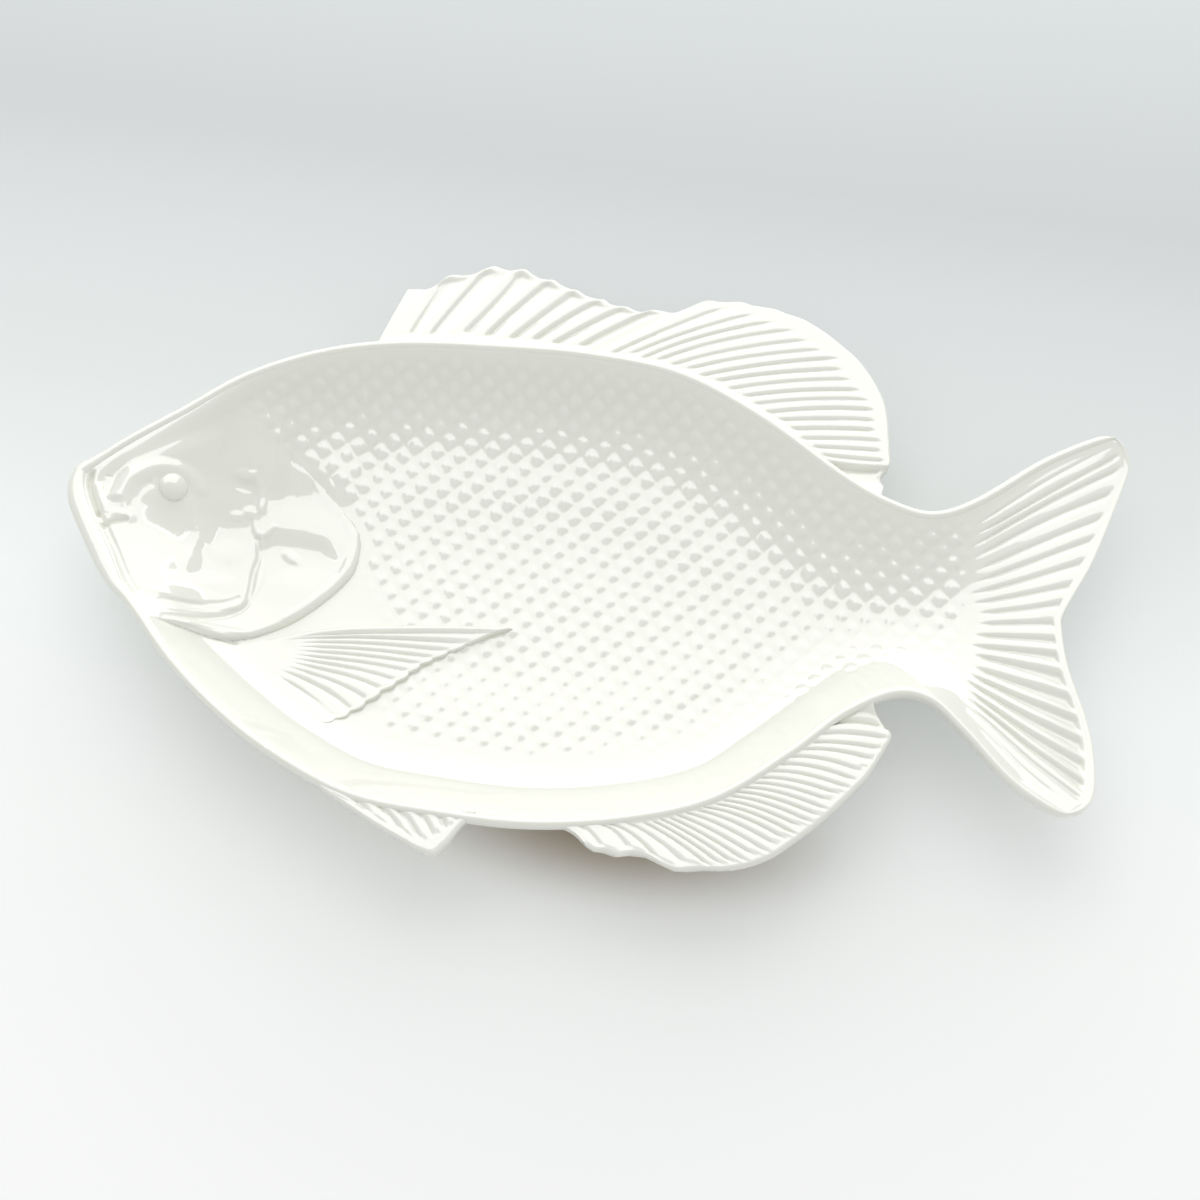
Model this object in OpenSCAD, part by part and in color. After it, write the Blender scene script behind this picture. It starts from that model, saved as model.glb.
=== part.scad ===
// Fish shaped platter: a shallow ceramic dish with a moulded head, fins, tail and foot ring.
// It is one casting. The nodes are its moulded zones, and each meets the next face to face.
// Frame: +X from the mouth to the tail, +Y to the back fin, +Z up. The foot ring stands on z = 0.

/* [Overall] */
// Length from the lower lip to the tip of the tail
dish_len = 460; // [400:5:520]
// Width from the anal fin to the tip of the back fin
dish_wid = 288; // [250:2:330]
// Height of the rim above the table
rim_z = 40; // [34:1:50]
// Thickness of the ceramic under the well
wall_t = 5.5; // [4:0.5:7]

/* [Well] */
// Width of the curved wall in plan, from the rim to the level floor
wall_run = 48; // [40:1:56]
// Steepness of the wall at the rim, where 1 is a straight slope
wall_power = 2.2; // [1.6:0.1:2.8]
// Drop from the rim to the floor of the snout
snout_drop = 8; // [6:1:20]
// Drop from the rim to the tail fan
tail_drop = 6; // [4:0.5:12]

/* [Rim] */
// Width of the bead that runs round the well
rim_w = 4; // [3:0.5:6]
// Rise of the bead over the inner edge of the rim
bead_h = 1.2; // [0.6:0.1:2]
// Height of the outer face of the bead
rim_t = 5; // [4:0.5:7]
// Width of the thin bead along the end of the tail
tail_rim_w = 2.4; // [1.6:0.2:4]
// Width of the lower jaw outside the mouth
jaw_w = 8; // [5:0.5:10]

/* [Head] */
// Step up from the body to the gill cover at its free edge
gill_rise = 3; // [1.5:0.25:4]
// Step up from the gill cover to the cheek
cheek_rise = 1.6; // [0.8:0.2:2.4]
// Thickness of the upper lip over the face
lip_h = 2.2; // [1:0.2:3]
// Width of the upper lip
lip_w = 5; // [4:0.5:7]
// Diameter of the eye
eye_d = 13; // [9:0.5:16]
// Height of the dome of the eye
eye_h = 3; // [2:0.25:4]

// Distance from the rim over which the head's steps fade in
fade_run = 14; // [8:1:20]

/* [Fins] */
// Thickness of a fin
fin_t = 4.6; // [3.5:0.1:6]
// Drop from the bead to the root of a fin
fin_step = 1.4; // [0.6:0.2:2.4]
// Further drop from the root of a fin to its outer edge
fin_fall = 1.2; // [0:0.2:3]
// Height of the spines of the front back fin
spine_h = 1.8; // [1:0.2:2.6]
// Height of the rays of the soft fins
ray_h = 1.1; // [0.6:0.1:1.6]
// Height of the rays of the tail
tail_ray_h = 1.5; // [0.8:0.1:2]
// Depth of the notches between the spine tips
scallop = 4; // [2:0.5:6]
// Thickness of the breast fin over the well, with its rays
breast_h = 3.2; // [2:0.2:4.5]
// Depth of the notches between the rays of the soft fins
fringe = 0.8; // [0.2:0.1:1.6]
// Number of spines in the front back fin
spines = 9; // [7:1:11]
// Number of rays in the rear back fin
rear_rays = 20; // [14:1:22]
// Number of rays in the anal fin
anal_rays = 26; // [16:1:26]
// Number of rays in the belly fin
belly_rays = 6; // [4:1:8]
// Number of rays in the breast fin
breast_rays = 12; // [8:1:14]

/* [Foot] */
// Height of the foot ring
foot_h = 5; // [4.6:0.2:7]
// Width of the foot ring where it stands
foot_w = 6; // [4:0.5:9]
// Distance from the foot of the wall to the foot ring
foot_margin = 7; // [4:0.5:12]

/* [Hidden] */

// Gap between a moulded relief or a fin and the face that it sits on
seat_gap = 0.1;
// Gap under a relief that lies on the curved well, and under the lip where the face turns up
relief_gap = 0.3;
lip_gap = 0.8;
// Floor of the well
floor_z = foot_h + wall_t;
// Inner edge of the rim
edge_z = rim_z - bead_h;
// Level of the crests of the rays at the roots of the fins
fin_z = rim_z - fin_step;
// How far the underside of the wall lies inside its top, in plan
under_shift = wall_t / 2;

// Steps of a smooth line between two of its points
line_steps = 8;
// Cells from the belly to the back, and along each zone
cross_cell_count = 22;
face_cell_count = 9;
gill_cell_count = 5;
body_cell_count = 34;
tail_cell_count = 12;
// Cells across each wall of the body, of the cells from the belly to the back
wall_cell_count = 7;
// Cells from the root of a fin to its edge
fin_cell_count = 4;
// Columns of a fin to one spine, and to one ray
spine_columns = 4;
ray_columns = 2;
// Cells of the breast fin from root to edge, and of the upper lip across
breast_cell_count = 6;
lip_cell_count = 4;
// Points of the rim over which its width changes
taper_cell_count = 3;
// Sides of the foot ring, steps of the eye's dome, and turn between the points that seat the eye
foot_sides = 72;
eye_steps = 6;
eye_step = 30;

// Outline of the well: shares of the length and of the width, from the dish's middle
back_shares = [
    [-0.486, 0.020], [-0.455, 0.077], [-0.408, 0.146], [-0.357, 0.222], [-0.292, 0.281],
    [-0.218, 0.316], [-0.119, 0.334], [-0.030, 0.341], [0.060, 0.327], [0.144, 0.268],
    [0.226, 0.184], [0.275, 0.146], [0.318, 0.135], [0.360, 0.168], [0.424, 0.256], [0.484, 0.318]
];
belly_shares = [
    [-0.430, -0.155], [-0.398, -0.198], [-0.355, -0.262], [-0.300, -0.326], [-0.240, -0.378],
    [-0.168, -0.420], [-0.090, -0.428], [-0.010, -0.424], [0.070, -0.398], [0.144, -0.351],
    [0.205, -0.268], [0.250, -0.194], [0.295, -0.149], [0.332, -0.152], [0.366, -0.195],
    [0.410, -0.262], [0.455, -0.303]
];
jaw_shares = [[-0.430, -0.155], [-0.452, -0.110], [-0.470, -0.062], [-0.481, -0.018], [-0.486, 0.020]];
tail_end_shares = [
    [0.455, -0.303], [0.472, -0.276], [0.474, -0.220], [0.467, -0.158], [0.448, -0.075],
    [0.440, -0.012], [0.442, 0.021], [0.465, 0.107], [0.483, 0.198], [0.495, 0.270],
    [0.492, 0.303], [0.484, 0.318]
];

// Lines that part the zones. Their ends lie on the belly and back edges
cheek_shares = [
    [-0.372, -0.152], [-0.325, -0.136], [-0.308, -0.085], [-0.314, -0.020], [-0.324, 0.040],
    [-0.344, 0.088], [-0.372, 0.130]
];
gill_shares = [
    [-0.345, -0.184], [-0.290, -0.170], [-0.240, -0.130], [-0.217, -0.065], [-0.219, 0.000],
    [-0.245, 0.055], [-0.286, 0.104], [-0.322, 0.150]
];
tail_root_shares = [[0.352, -0.080], [0.353, 0.000], [0.345, 0.070]];

// Where the parting lines meet the two edges, as shares of each edge's length
back_cut_shares = [0, 0.125, 0.185, 0.835, 1];
belly_cut_shares = [0, 0.012, 0.055, 0.855, 1];

// Outer edges of the fins, and the shares of the rim's length where each begins and ends
spiny_shares = [
    [-0.223, 0.428], [-0.184, 0.472], [-0.143, 0.500], [-0.109, 0.500], [-0.079, 0.486],
    [-0.053, 0.472], [-0.026, 0.461], [0.002, 0.452], [0.030, 0.450], [0.045, 0.448]
];
rear_shares = [
    [0.045, 0.448], [0.073, 0.478], [0.113, 0.489], [0.150, 0.482], [0.191, 0.459],
    [0.226, 0.418], [0.254, 0.353], [0.267, 0.283], [0.272, 0.213]
];
anal_shares = [
    [0.026, -0.432], [0.052, -0.450], [0.076, -0.457], [0.100, -0.449], [0.127, -0.466], [0.170, -0.450],
    [0.211, -0.416], [0.247, -0.357], [0.281, -0.283], [0.297, -0.218], [0.282, -0.178]
];
belly_fin_shares = [[-0.139, -0.461], [-0.110, -0.480], [-0.083, -0.498]];
spiny_root_shares = [0.283, 0.486];
rear_root_shares = [0.486, 0.728];
anal_root_shares = [0.484, 0.757];
belly_fin_root_shares = [0.300, 0.417];

// Breast fin: its root, and its toothed edge from the lower corner to the tip
breast_root_shares = [[-0.292, -0.232], [-0.303, -0.205], [-0.300, -0.180]];
breast_edge_shares = [
    [-0.216, -0.294], [-0.192, -0.276], [-0.165, -0.238], [-0.142, -0.200], [-0.118, -0.158],
    [-0.088, -0.128], [-0.063, -0.105]
];

eye_shares = [-0.405, 0.032];
well_mid_shares = [-0.080, -0.046];
well_size_shares = [0.690, 0.765];

// Where the floor starts to rise to the snout and to the tail, and where the rise ends
snout_rise_shares = [-0.330, -0.480];
tail_rise_shares = [0.150, 0.460];

// Share of the cells' width that goes from the ends of a crossing to its middle
crowd_share = 0.6;
// Power that rounds the well where two walls meet
round_power = 4;
// Share of a gill cover's or cheek's rise that its front edge keeps
front_share = 0.35;
// Share of a ray's length in which it swells from the root
swell_share = 0.25;
// Share of the jaw's length below the upper lip, and the lip's height at its edges
lip_share = 0.5;
lip_edge_share = 0.3;
// Share of the breast fin's thickness that is lost at its edge
breast_thin_share = 0.4;
// Limit on the mitre at a corner of the rim
mitre_share = 0.6;

function lerp(a, b, t) = a + (b - a) * t;
function clamp(t) = min(1, max(0, t));
function ease(t) = let (c = clamp(t)) c * c * (3 - 2 * c);
function unit(v) = v / norm(v);
function left(v) = [-v[1], v[0]];
function last_id(list) = len(list) - 1;
function last(list) = list[last_id(list)];
function reversed(list) = [for (i = [len(list) - 1:-1:0]) list[i]];
function tail_of(list) = [for (i = [1:len(list) - 1]) list[i]];

// A point given in shares, as a place on the dish
function place(p) = [p[0] * dish_len, p[1] * dish_wid];
function places(shares) = [for (p = shares) place(p)];

// Smooth curve through a list of points
function bend(a, b, c, d, t) =
    (2 * b + (c - a) * t + (2 * a - 5 * b + 4 * c - d) * t * t + (3 * b - a - 3 * c + d) * t * t * t) / 2;
function smooth_line(pts) =
    let (n = len(pts) - 1)
    concat([
        for (i = [0:n - 1], k = [0:line_steps - 1])
            bend(pts[max(0, i - 1)], pts[i], pts[i + 1], pts[min(n, i + 2)], k / line_steps)
    ], [pts[n]]);

// Running length of a line at each of its points
function runs(line) =
    [for (i = 0, s = 0; i < len(line);
          s = s + (i < len(line) - 1 ? norm(line[i + 1] - line[i]) : 0), i = i + 1) s];

// Points of a line at the given shares of its length
function at_shares(line, spots) =
    let (
        run = runs(line),
        xs = [for (i = [0:len(line) - 1]) [run[i], line[i][0]]],
        ys = [for (i = [0:len(line) - 1]) [run[i], line[i][1]]]
    )
    [for (s = spots) [lookup(s * last(run), xs), lookup(s * last(run), ys)]];

function even(a, b, n) = let (last_i = round(n)) [for (i = [0:last_i]) lerp(a, b, i / last_i)];
// Shares that lie closer together at both ends
function crowded(n) = [for (t = even(0, 1, n)) t - crowd_share * sin(360 * t) / (2 * PI)];
function halved(line) =
    concat([for (i = [0:len(line) - 2], k = [0:1]) lerp(line[i], line[i + 1], k / 2)], [last(line)]);

// Distance from a point to a line, and to the nearest of several, rounded where two are near
function to_segment(p, a, b) =
    let (t = clamp((p - a) * (b - a) / ((b - a) * (b - a)))) norm(p - lerp(a, b, t));
function to_line(p, line) = min([for (i = [0:len(line) - 2]) to_segment(p, line[i], line[i + 1])]);
function total(list) = list * [for (v = list) 1];
function rounded_min(ds) =
    let (least = min(ds))
    least <= 0 ? 0 : least * pow(total([for (d = ds) pow(d / least, -round_power)]), -1 / round_power);

// The four edges of the well
back_line = smooth_line(places(back_shares));
belly_line = smooth_line(places(belly_shares));
jaw_line = smooth_line(places(jaw_shares));
tail_end_line = smooth_line(places(tail_end_shares));

// The lines that part the zones, from the belly edge to the back edge
function parting(shares, k) =
    let (
        below = at_shares(belly_line, [belly_cut_shares[k]]),
        above = at_shares(back_line, [back_cut_shares[k]])
    )
    smooth_line(concat(below, places(shares), above));
crossing = crowded(cross_cell_count);
last_row = len(crossing) - 1;
jaw_edge = at_shares(jaw_line, crossing);
cheek_edge = at_shares(parting(cheek_shares, 1), crossing);
gill_edge = at_shares(parting(gill_shares, 2), crossing);
tail_root = at_shares(parting(tail_root_shares, 3), crossing);
tail_end = at_shares(tail_end_line, even(0, 1, 2 * last_row));

// The stretches of the belly and back edges beside each zone
zone_counts = [face_cell_count, gill_cell_count, body_cell_count, tail_cell_count];
function stretches(line, cuts) =
    [for (k = [0:len(zone_counts) - 1]) at_shares(line, even(cuts[k], cuts[k + 1], zone_counts[k]))];
back_parts = stretches(back_line, back_cut_shares);
belly_parts = stretches(belly_line, belly_cut_shares);
function joined(parts) = concat([parts[0][0]], [for (p = parts) for (q = tail_of(p)) q]);
back_edge = joined(back_parts);
belly_edge = joined(belly_parts);

// Height of the inner surface and of the underside at a place of the well
function wall_ease(run) = pow(1 - clamp(run / wall_run), wall_power);
function floor_at(x) =
    floor_z
    + (edge_z - snout_drop - floor_z)
        * ease((x / dish_len - snout_rise_shares[0]) / (snout_rise_shares[1] - snout_rise_shares[0]))
    + (rim_z - tail_drop - floor_z)
        * ease((x / dish_len - tail_rise_shares[0]) / (tail_rise_shares[1] - tail_rise_shares[0]));
function well_z(x, run) = floor_at(x) + (edge_z - floor_at(x)) * wall_ease(run);
function from_rim(p) = rounded_min([to_line(p, back_edge), to_line(p, belly_edge), to_line(p, jaw_edge)]);
function under_z(x, run) = max(foot_h, well_z(x, run + under_shift) - wall_t);

// Patch of points between four edges: the ends a and b, the sides lo and hi
function patch(a, b, lo, hi, us, vs) =
    [for (i = [0:len(us) - 1]) [for (j = [0:len(vs) - 1])
        let (u = us[i], v = vs[j])
        lerp(a[j], b[j], u) + lerp(lo[i], hi[i], v)
            - lerp(lerp(a[0], last(a), v), lerp(b[0], last(b), v), u)
    ]];

// Closed solid between two grids of points with the same places in plan
module slab(top, under) {
    nu = len(top);
    nv = len(top[0]);
    base = nu * nv;
    function id(i, j) = i * nv + j;
    rim_ids = concat(
        [for (i = [0:nu - 2]) id(i, 0)], [for (j = [0:nv - 2]) id(nu - 1, j)],
        [for (i = [nu - 1:-1:1]) id(i, nv - 1)], [for (j = [nv - 1:-1:1]) id(0, j)]
    );
    n = len(rim_ids);
    points = concat([for (row = top) for (p = row) p], [for (row = under) for (p = row) p]);
    cells = [for (i = [0:nu - 2]) for (j = [0:nv - 2])
        [id(i, j), id(i + 1, j), id(i + 1, j + 1), id(i, j + 1)]];
    faces = concat(
        [for (c = cells) for (f = [[c[2], c[1], c[0]], [c[3], c[2], c[0]]]) f],
        [for (c = cells) for (f = [[c[0], c[1], c[2]], [c[0], c[2], c[3]]]) [for (k = f) k + base]],
        [for (k = [0:n - 1]) let (a = rim_ids[k], b = rim_ids[(k + 1) % n])
            for (f = [[a, b, b + base], [a, b + base, a + base]]) f]
    );
    polyhedron(points, faces);
}

// Closed solid swept through sections with the same number of points
module strip(sections) {
    m = len(sections[0]);
    n = len(sections);
    points = [for (s = sections) for (p = s) p];
    faces = concat(
        [for (i = [0:n - 2]) for (k = [0:m - 1])
            let (a = i * m + k, b = i * m + (k + 1) % m) for (f = [[a, b + m, b], [a, a + m, b + m]]) f],
        [for (k = [1:m - 2]) [0, k, k + 1]],
        [for (k = [1:m - 2]) let (far = (n - 1) * m) [far, far + k + 1, far + k]]
    );
    polyhedron(points, faces);
}

// The rim runs once round the well, clockwise seen from above
rim_loop = concat(jaw_edge, tail_of(back_edge), tail_of(reversed(tail_end)), tail_of(reversed(belly_edge)));
back_from = last_id(jaw_edge);
tail_from = back_from + last_id(back_edge);
belly_from = tail_from + last_id(tail_end);
loop_last = belly_from + last_id(belly_edge);
// Width of the rim: the jaw, the back, the tail's end and the belly, with a taper between them
function rim_width(i) =
    let (
        in_tail = ease((min(i - tail_from, belly_from - i) + taper_cell_count) / (2 * taper_cell_count)),
        in_jaw = ease((max(back_from - i, i - loop_last) + taper_cell_count) / (2 * taper_cell_count))
    )
    lerp(lerp(rim_w, tail_rim_w, in_tail), jaw_w, in_jaw);
function loop_at(i) = rim_loop[(i + loop_last) % loop_last];
function outward(i) =
    let (
        before = left(unit(loop_at(i) - loop_at(i - 1))),
        after = left(unit(loop_at(i + 1) - loop_at(i))),
        mid = unit(before + after)
    )
    mid / max(mid * after, mitre_share);
function outer_at(i, width) = loop_at(i) + outward(i) * width;
function with_z(p, z) = [p[0], p[1], z];

// Section of the rim at a point of the loop
function rim_section(i) =
    let (
        inner = loop_at(i),
        outer = outer_at(i, rim_width(i)),
        crest = outer_at(i, rim_width(i) / 2),
        run = from_rim(inner),
        z = well_z(inner[0], run)
    )
    [
        with_z(inner, under_z(inner[0], run)), with_z(outer, z + bead_h - rim_t), with_z(outer, z),
        with_z(crest, z + bead_h), with_z(inner, z)
    ];
module rim(from, to) {
    strip([for (i = [from:to]) rim_section(i)]);
}

// Outer face of the rim beside the back and the belly, where the fins are rooted
back_outer = [for (i = [back_from:tail_from]) outer_at(i, rim_w + seat_gap)];
belly_outer = [for (i = [loop_last:-1:belly_from]) outer_at(i, rim_w + seat_gap)];

// Rise of a fin's rays, from 0 between two of them to 1 on their crests
function crest_at(i, period) = (1 + cos(360 * (i % period) / period)) / 2;
// Columns of a fin in plan, from the rim to its edge, which is notched between the rays
function fin_plan(outer, cuts, shares, rays, period, notch) =
    let (
        n = rays * period,
        root = at_shares(outer, even(cuts[0], cuts[1], n)),
        edge = at_shares(smooth_line(places(shares)), even(0, 1, n))
    )
    [for (i = [0:n])
        let (tip = edge[i] - unit(edge[i] - root[i]) * notch * (1 - crest_at(i, period)))
        [for (j = [0:fin_cell_count]) lerp(root[i], tip, j / fin_cell_count)]];
function fin_top(plan, period, height) =
    [for (i = [0:len(plan) - 1]) [for (j = [0:fin_cell_count])
        let (t = j / fin_cell_count, swell = ease(t / swell_share) * crest_at(i, period))
        with_z(plan[i][j], fin_z - fin_fall * t - height * (1 - swell))]];
function fin_under(plan) =
    [for (row = plan) [for (j = [0:fin_cell_count])
        with_z(row[j], fin_z - fin_fall * j / fin_cell_count - fin_t)]];
module fin(outer, cuts, shares, rays, period, height, notch) {
    plan = fin_plan(outer, cuts, shares, rays, period, notch);
    slab(fin_top(plan, period, height), fin_under(plan));
}
// The same on the belly side, where the columns run the other way
module mirrored_fin(outer, cuts, shares, rays, period, height, notch) {
    plan = fin_plan(outer, cuts, shares, rays, period, notch);
    slab(reversed(fin_top(plan, period, height)), reversed(fin_under(plan)));
}

// Zones of the well, from the mouth to the tail
head_rise = front_share * gill_rise;
function fade(run) = ease(run / fade_run);
function face_z(p) = let (run = from_rim(p)) well_z(p[0], run) + (head_rise + cheek_rise) * fade(run);
function plan_of(k, a, b) =
    patch(a, b, belly_parts[k], back_parts[k], even(0, 1, zone_counts[k]), crossing);
function under_of(plan) = [for (row = plan) [for (p = row) with_z(p, under_z(p[0], from_rim(p)))]];

module face() {
    plan = plan_of(0, jaw_edge, cheek_edge);
    color("ivory")
        slab([for (row = plan) [for (p = row) with_z(p, face_z(p))]], under_of(plan));
}

module gill_cover() {
    plan = plan_of(1, cheek_edge, gill_edge);
    top = [for (i = [0:gill_cell_count]) [for (p = plan[i]) let (run = from_rim(p))
        with_z(p, well_z(p[0], run) + lerp(head_rise, gill_rise, i / gill_cell_count) * fade(run))]];
    color("cornsilk")
        slab(top, under_of(plan));
}

// The body lies between the gill cover and the tail: a floor with a wall on each side
module body_part(from, to) {
    plan = [for (row = plan_of(2, gill_edge, tail_root)) [for (j = [from:to]) row[j]]];
    slab([for (row = plan) [for (p = row) with_z(p, well_z(p[0], from_rim(p)))]], under_of(plan));
}

module belly_wall() {
    color("floralwhite") body_part(0, wall_cell_count);
}

module well_floor() {
    color("ivory") body_part(wall_cell_count, last_row - wall_cell_count);
}

module back_wall() {
    color("floralwhite") body_part(last_row - wall_cell_count, last_row);
}

// The rays of the tail run from its root to just short of its end
module tail_fin() {
    plan = patch(
        halved(tail_root), tail_end, belly_parts[3], back_parts[3],
        even(0, 1, tail_cell_count), even(0, 1, 2 * last_row)
    );
    top = [for (i = [0:tail_cell_count]) [for (j = [0:2 * last_row])
        let (
            p = plan[i][j],
            run = from_rim(p),
            t = i / tail_cell_count,
            swell = ease(t / swell_share) * ease((1 - t) / swell_share) * (j % 2)
        )
        with_z(p, well_z(p[0], run) + tail_ray_h * swell)]];
    color("ivory")
        slab(top, under_of(plan));
}

module back_rim() {
    color("white") rim(back_from, tail_from);
}

module tail_rim() {
    color("white") rim(tail_from, belly_from);
}

module belly_rim() {
    color("white") rim(belly_from, loop_last);
}

module lower_jaw() {
    color("linen") rim(0, back_from);
}

// Ridge inside the mouth end of the face, from the snout to the corner of the mouth
module upper_lip() {
    first = round(lip_share * last_row);
    plan = [for (k = [lip_cell_count:-1:0]) [for (i = [first:back_from - 1])
        outer_at(i, -seat_gap - lip_w * k / lip_cell_count)]];
    under = [for (row = plan) [for (p = row) with_z(p, face_z(p) + lip_gap)]];
    top = [for (k = [0:lip_cell_count]) [for (p = under[k])
        with_z(p, p[2] + lip_h * (lip_edge_share + (1 - lip_edge_share) * sin(180 * k / lip_cell_count)))]];
    color("linen")
        slab(reversed(top), reversed(under));
}

// Low dome set square to the slope of the face
module eye() {
    p = place(eye_shares);
    r = eye_d / 2;
    slope = [for (d = [[r, 0], [0, r]]) (face_z(p + d) - face_z(p - d)) / eye_d];
    tilt = atan(norm(slope));
    lift = max([for (a = [0:eye_step:360 - eye_step])
        let (d = r * [cos(a), sin(a)]) face_z(p + d) - face_z(p) - slope * d]);
    ball = (r * r + eye_h * eye_h) / (2 * eye_h);
    sweep = asin(r / ball);
    dome = [for (a = [0:sweep / eye_steps:sweep]) [ball * sin(a), eye_h - ball * (1 - cos(a))]];
    color("white")
        translate(with_z(p, face_z(p) + max(0, lift) + relief_gap))
            rotate([0, -tilt, atan2(slope[1], slope[0])])
                rotate_extrude($fn = 48) polygon(concat([[0, 0]], reversed(dome)));
}

// The breast fin lies on the well, with its rays fanning from the root
module breast_fin() {
    n = 2 * breast_rays;
    root = at_shares(smooth_line(places(breast_root_shares)), even(0, 1, n));
    edge = at_shares(smooth_line(places(breast_edge_shares)), even(0, 1, n));
    plan = [for (i = [0:breast_cell_count]) [for (j = [0:n])
        lerp(root[j], edge[j], i / breast_cell_count)]];
    under = [for (row = plan) [for (p = row) with_z(p, well_z(p[0], from_rim(p)) + relief_gap)]];
    top = [for (i = [0:breast_cell_count]) [for (j = [0:n])
        let (t = i / breast_cell_count, groove = ease(t / swell_share) * (1 - j % 2))
        with_z(under[i][j], under[i][j][2] + breast_h * (1 - breast_thin_share * t) - ray_h * groove)]];
    color("cornsilk")
        slab(top, under);
}

module spiny_back_fin() {
    color("ivory")
        fin(back_outer, spiny_root_shares, spiny_shares, spines, spine_columns, spine_h, scallop);
}

module rear_back_fin() {
    color("cornsilk")
        fin(back_outer, rear_root_shares, rear_shares, rear_rays, ray_columns, ray_h, fringe);
}

module anal_fin() {
    color("ivory")
        mirrored_fin(belly_outer, anal_root_shares, anal_shares, anal_rays, ray_columns, ray_h, fringe);
}

module belly_fin() {
    cuts = belly_fin_root_shares;
    color("ivory")
        mirrored_fin(belly_outer, cuts, belly_fin_shares, belly_rays, ray_columns, ray_h, fringe);
}

// Oval ring under the level part of the well
module foot_ring() {
    mid = place(well_mid_shares);
    half = place(well_size_shares) / 2 - [1, 1] * (wall_run + foot_margin);
    function oval(inset) =
        [for (k = [0:foot_sides - 1]) let (a = 360 * k / foot_sides)
            [mid[0] + (half[0] - inset) * cos(a), mid[1] + (half[1] - inset) * sin(a)]];
    color("wheat")
        linear_extrude(foot_h) difference() {
            polygon(oval(0));
            polygon(oval(foot_w));
        }
}

well_floor();
back_wall();
belly_wall();
face();
gill_cover();
upper_lip();
lower_jaw();
eye();
breast_fin();
back_rim();
belly_rim();
tail_rim();
spiny_back_fin();
rear_back_fin();
belly_fin();
anal_fin();
tail_fin();
foot_ring();
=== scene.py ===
import logging
import math
from dataclasses import dataclass, field
from enum import Enum
from typing import Any, Callable, Optional, Sequence

import bpy
import numpy as np
from mathutils import Matrix, Vector

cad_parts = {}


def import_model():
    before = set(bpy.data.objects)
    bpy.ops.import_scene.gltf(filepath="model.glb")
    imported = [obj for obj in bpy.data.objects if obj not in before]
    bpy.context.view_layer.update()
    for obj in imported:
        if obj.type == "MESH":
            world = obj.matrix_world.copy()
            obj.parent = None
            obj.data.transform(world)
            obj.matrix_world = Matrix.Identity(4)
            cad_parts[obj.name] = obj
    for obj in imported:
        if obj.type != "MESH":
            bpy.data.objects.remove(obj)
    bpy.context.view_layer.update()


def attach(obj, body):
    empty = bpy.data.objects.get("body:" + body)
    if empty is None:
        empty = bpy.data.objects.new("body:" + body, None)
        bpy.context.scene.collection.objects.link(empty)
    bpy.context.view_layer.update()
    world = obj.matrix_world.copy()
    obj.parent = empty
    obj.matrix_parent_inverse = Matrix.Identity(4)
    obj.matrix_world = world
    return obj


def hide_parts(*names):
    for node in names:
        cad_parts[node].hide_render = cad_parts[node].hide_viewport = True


LOG = logging.getLogger("fish_platter")
MM = 0.001
HOLLOW = "hollow"
Array = np.ndarray


class Surface(Enum):
    """What a piece's surface is finished with."""

    GLAZED = "glaze"
    BARE = "bare_clay"


def ease(t: Array) -> Array:
    """Smooth step from 0 to 1 for t from 0 to 1."""
    c = np.clip(t, 0.0, 1.0)
    return c * c * (3.0 - 2.0 * c)


def swell(t: Array, low: float, high: float) -> Array:
    """Smooth step that is 0 at low and 1 at high."""
    return ease((np.asarray(t, float) - low) / (high - low))


def smooth_line(points: Any, steps: int = 8) -> Array:
    """Runs a smooth curve through points.

    Args:
        points: the points to pass through, any number of columns.
        steps: pieces between two of the points.

    Returns:
        The points of the curve.
    """
    p = np.asarray(points, float)
    ids = np.arange(len(p) - 1)
    a, b, c, d = p[np.maximum(ids - 1, 0)], p[ids], p[ids + 1], p[np.minimum(ids + 2, len(p) - 1)]
    t = (np.arange(steps) / steps)[None, :, None]
    a, b, c, d = (v[:, None, :] for v in (a, b, c, d))
    curve = (2 * b + (c - a) * t + (2 * a - 5 * b + 4 * c - d) * t**2 + (3 * b - a - 3 * c + d) * t**3) / 2
    return np.vstack([curve.reshape(-1, p.shape[1]), p[-1:]])


def runs(line: Array) -> Array:
    """Running length of a line at each of its points."""
    return np.concatenate([[0.0], np.cumsum(np.linalg.norm(np.diff(line, axis=0), axis=1))])


def at_shares(line: Array, spots: Array) -> Array:
    """Points of a line at given shares of its length.

    Args:
        line: points of the line.
        spots: shares from 0 to 1.

    Returns:
        A point for each share.
    """
    run = runs(line)
    where = np.asarray(spots, float) * run[-1]
    return np.stack([np.interp(where, run, line[:, k]) for k in range(line.shape[1])], axis=-1)


def share_near(line: Array, point: Array) -> float:
    """Share of a line's length at which it passes nearest to a point."""
    run = runs(line)
    return float(run[np.argmin(np.linalg.norm(line - point, axis=1))] / run[-1])


def line_distance(p: Array, line: Any, signed: bool = False) -> Array:
    """Distance from points to a line.

    Args:
        p: points, one a row, x and y.
        line: points of the line.
        signed: whether points on the right hand of the line count as positive and the others as negative.

    Returns:
        One distance for each point.
    """
    line = np.asarray(line, float)
    best = np.full(len(p), 1e9)
    sign = np.ones(len(p))
    for a, b in zip(line[:-1], line[1:]):
        ab = b - a
        ap = p - a
        t = np.clip((ap @ ab) / max(ab @ ab, 1e-12), 0.0, 1.0)
        off = ap - t[:, None] * ab
        d = off[:, 0] ** 2 + off[:, 1] ** 2
        near = d < best
        best = np.where(near, d, best)
        if signed:
            sign = np.where(near, np.sign(ab[1] * ap[:, 0] - ab[0] * ap[:, 1] + 1e-12), sign)
    return np.sqrt(best) * sign


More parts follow.
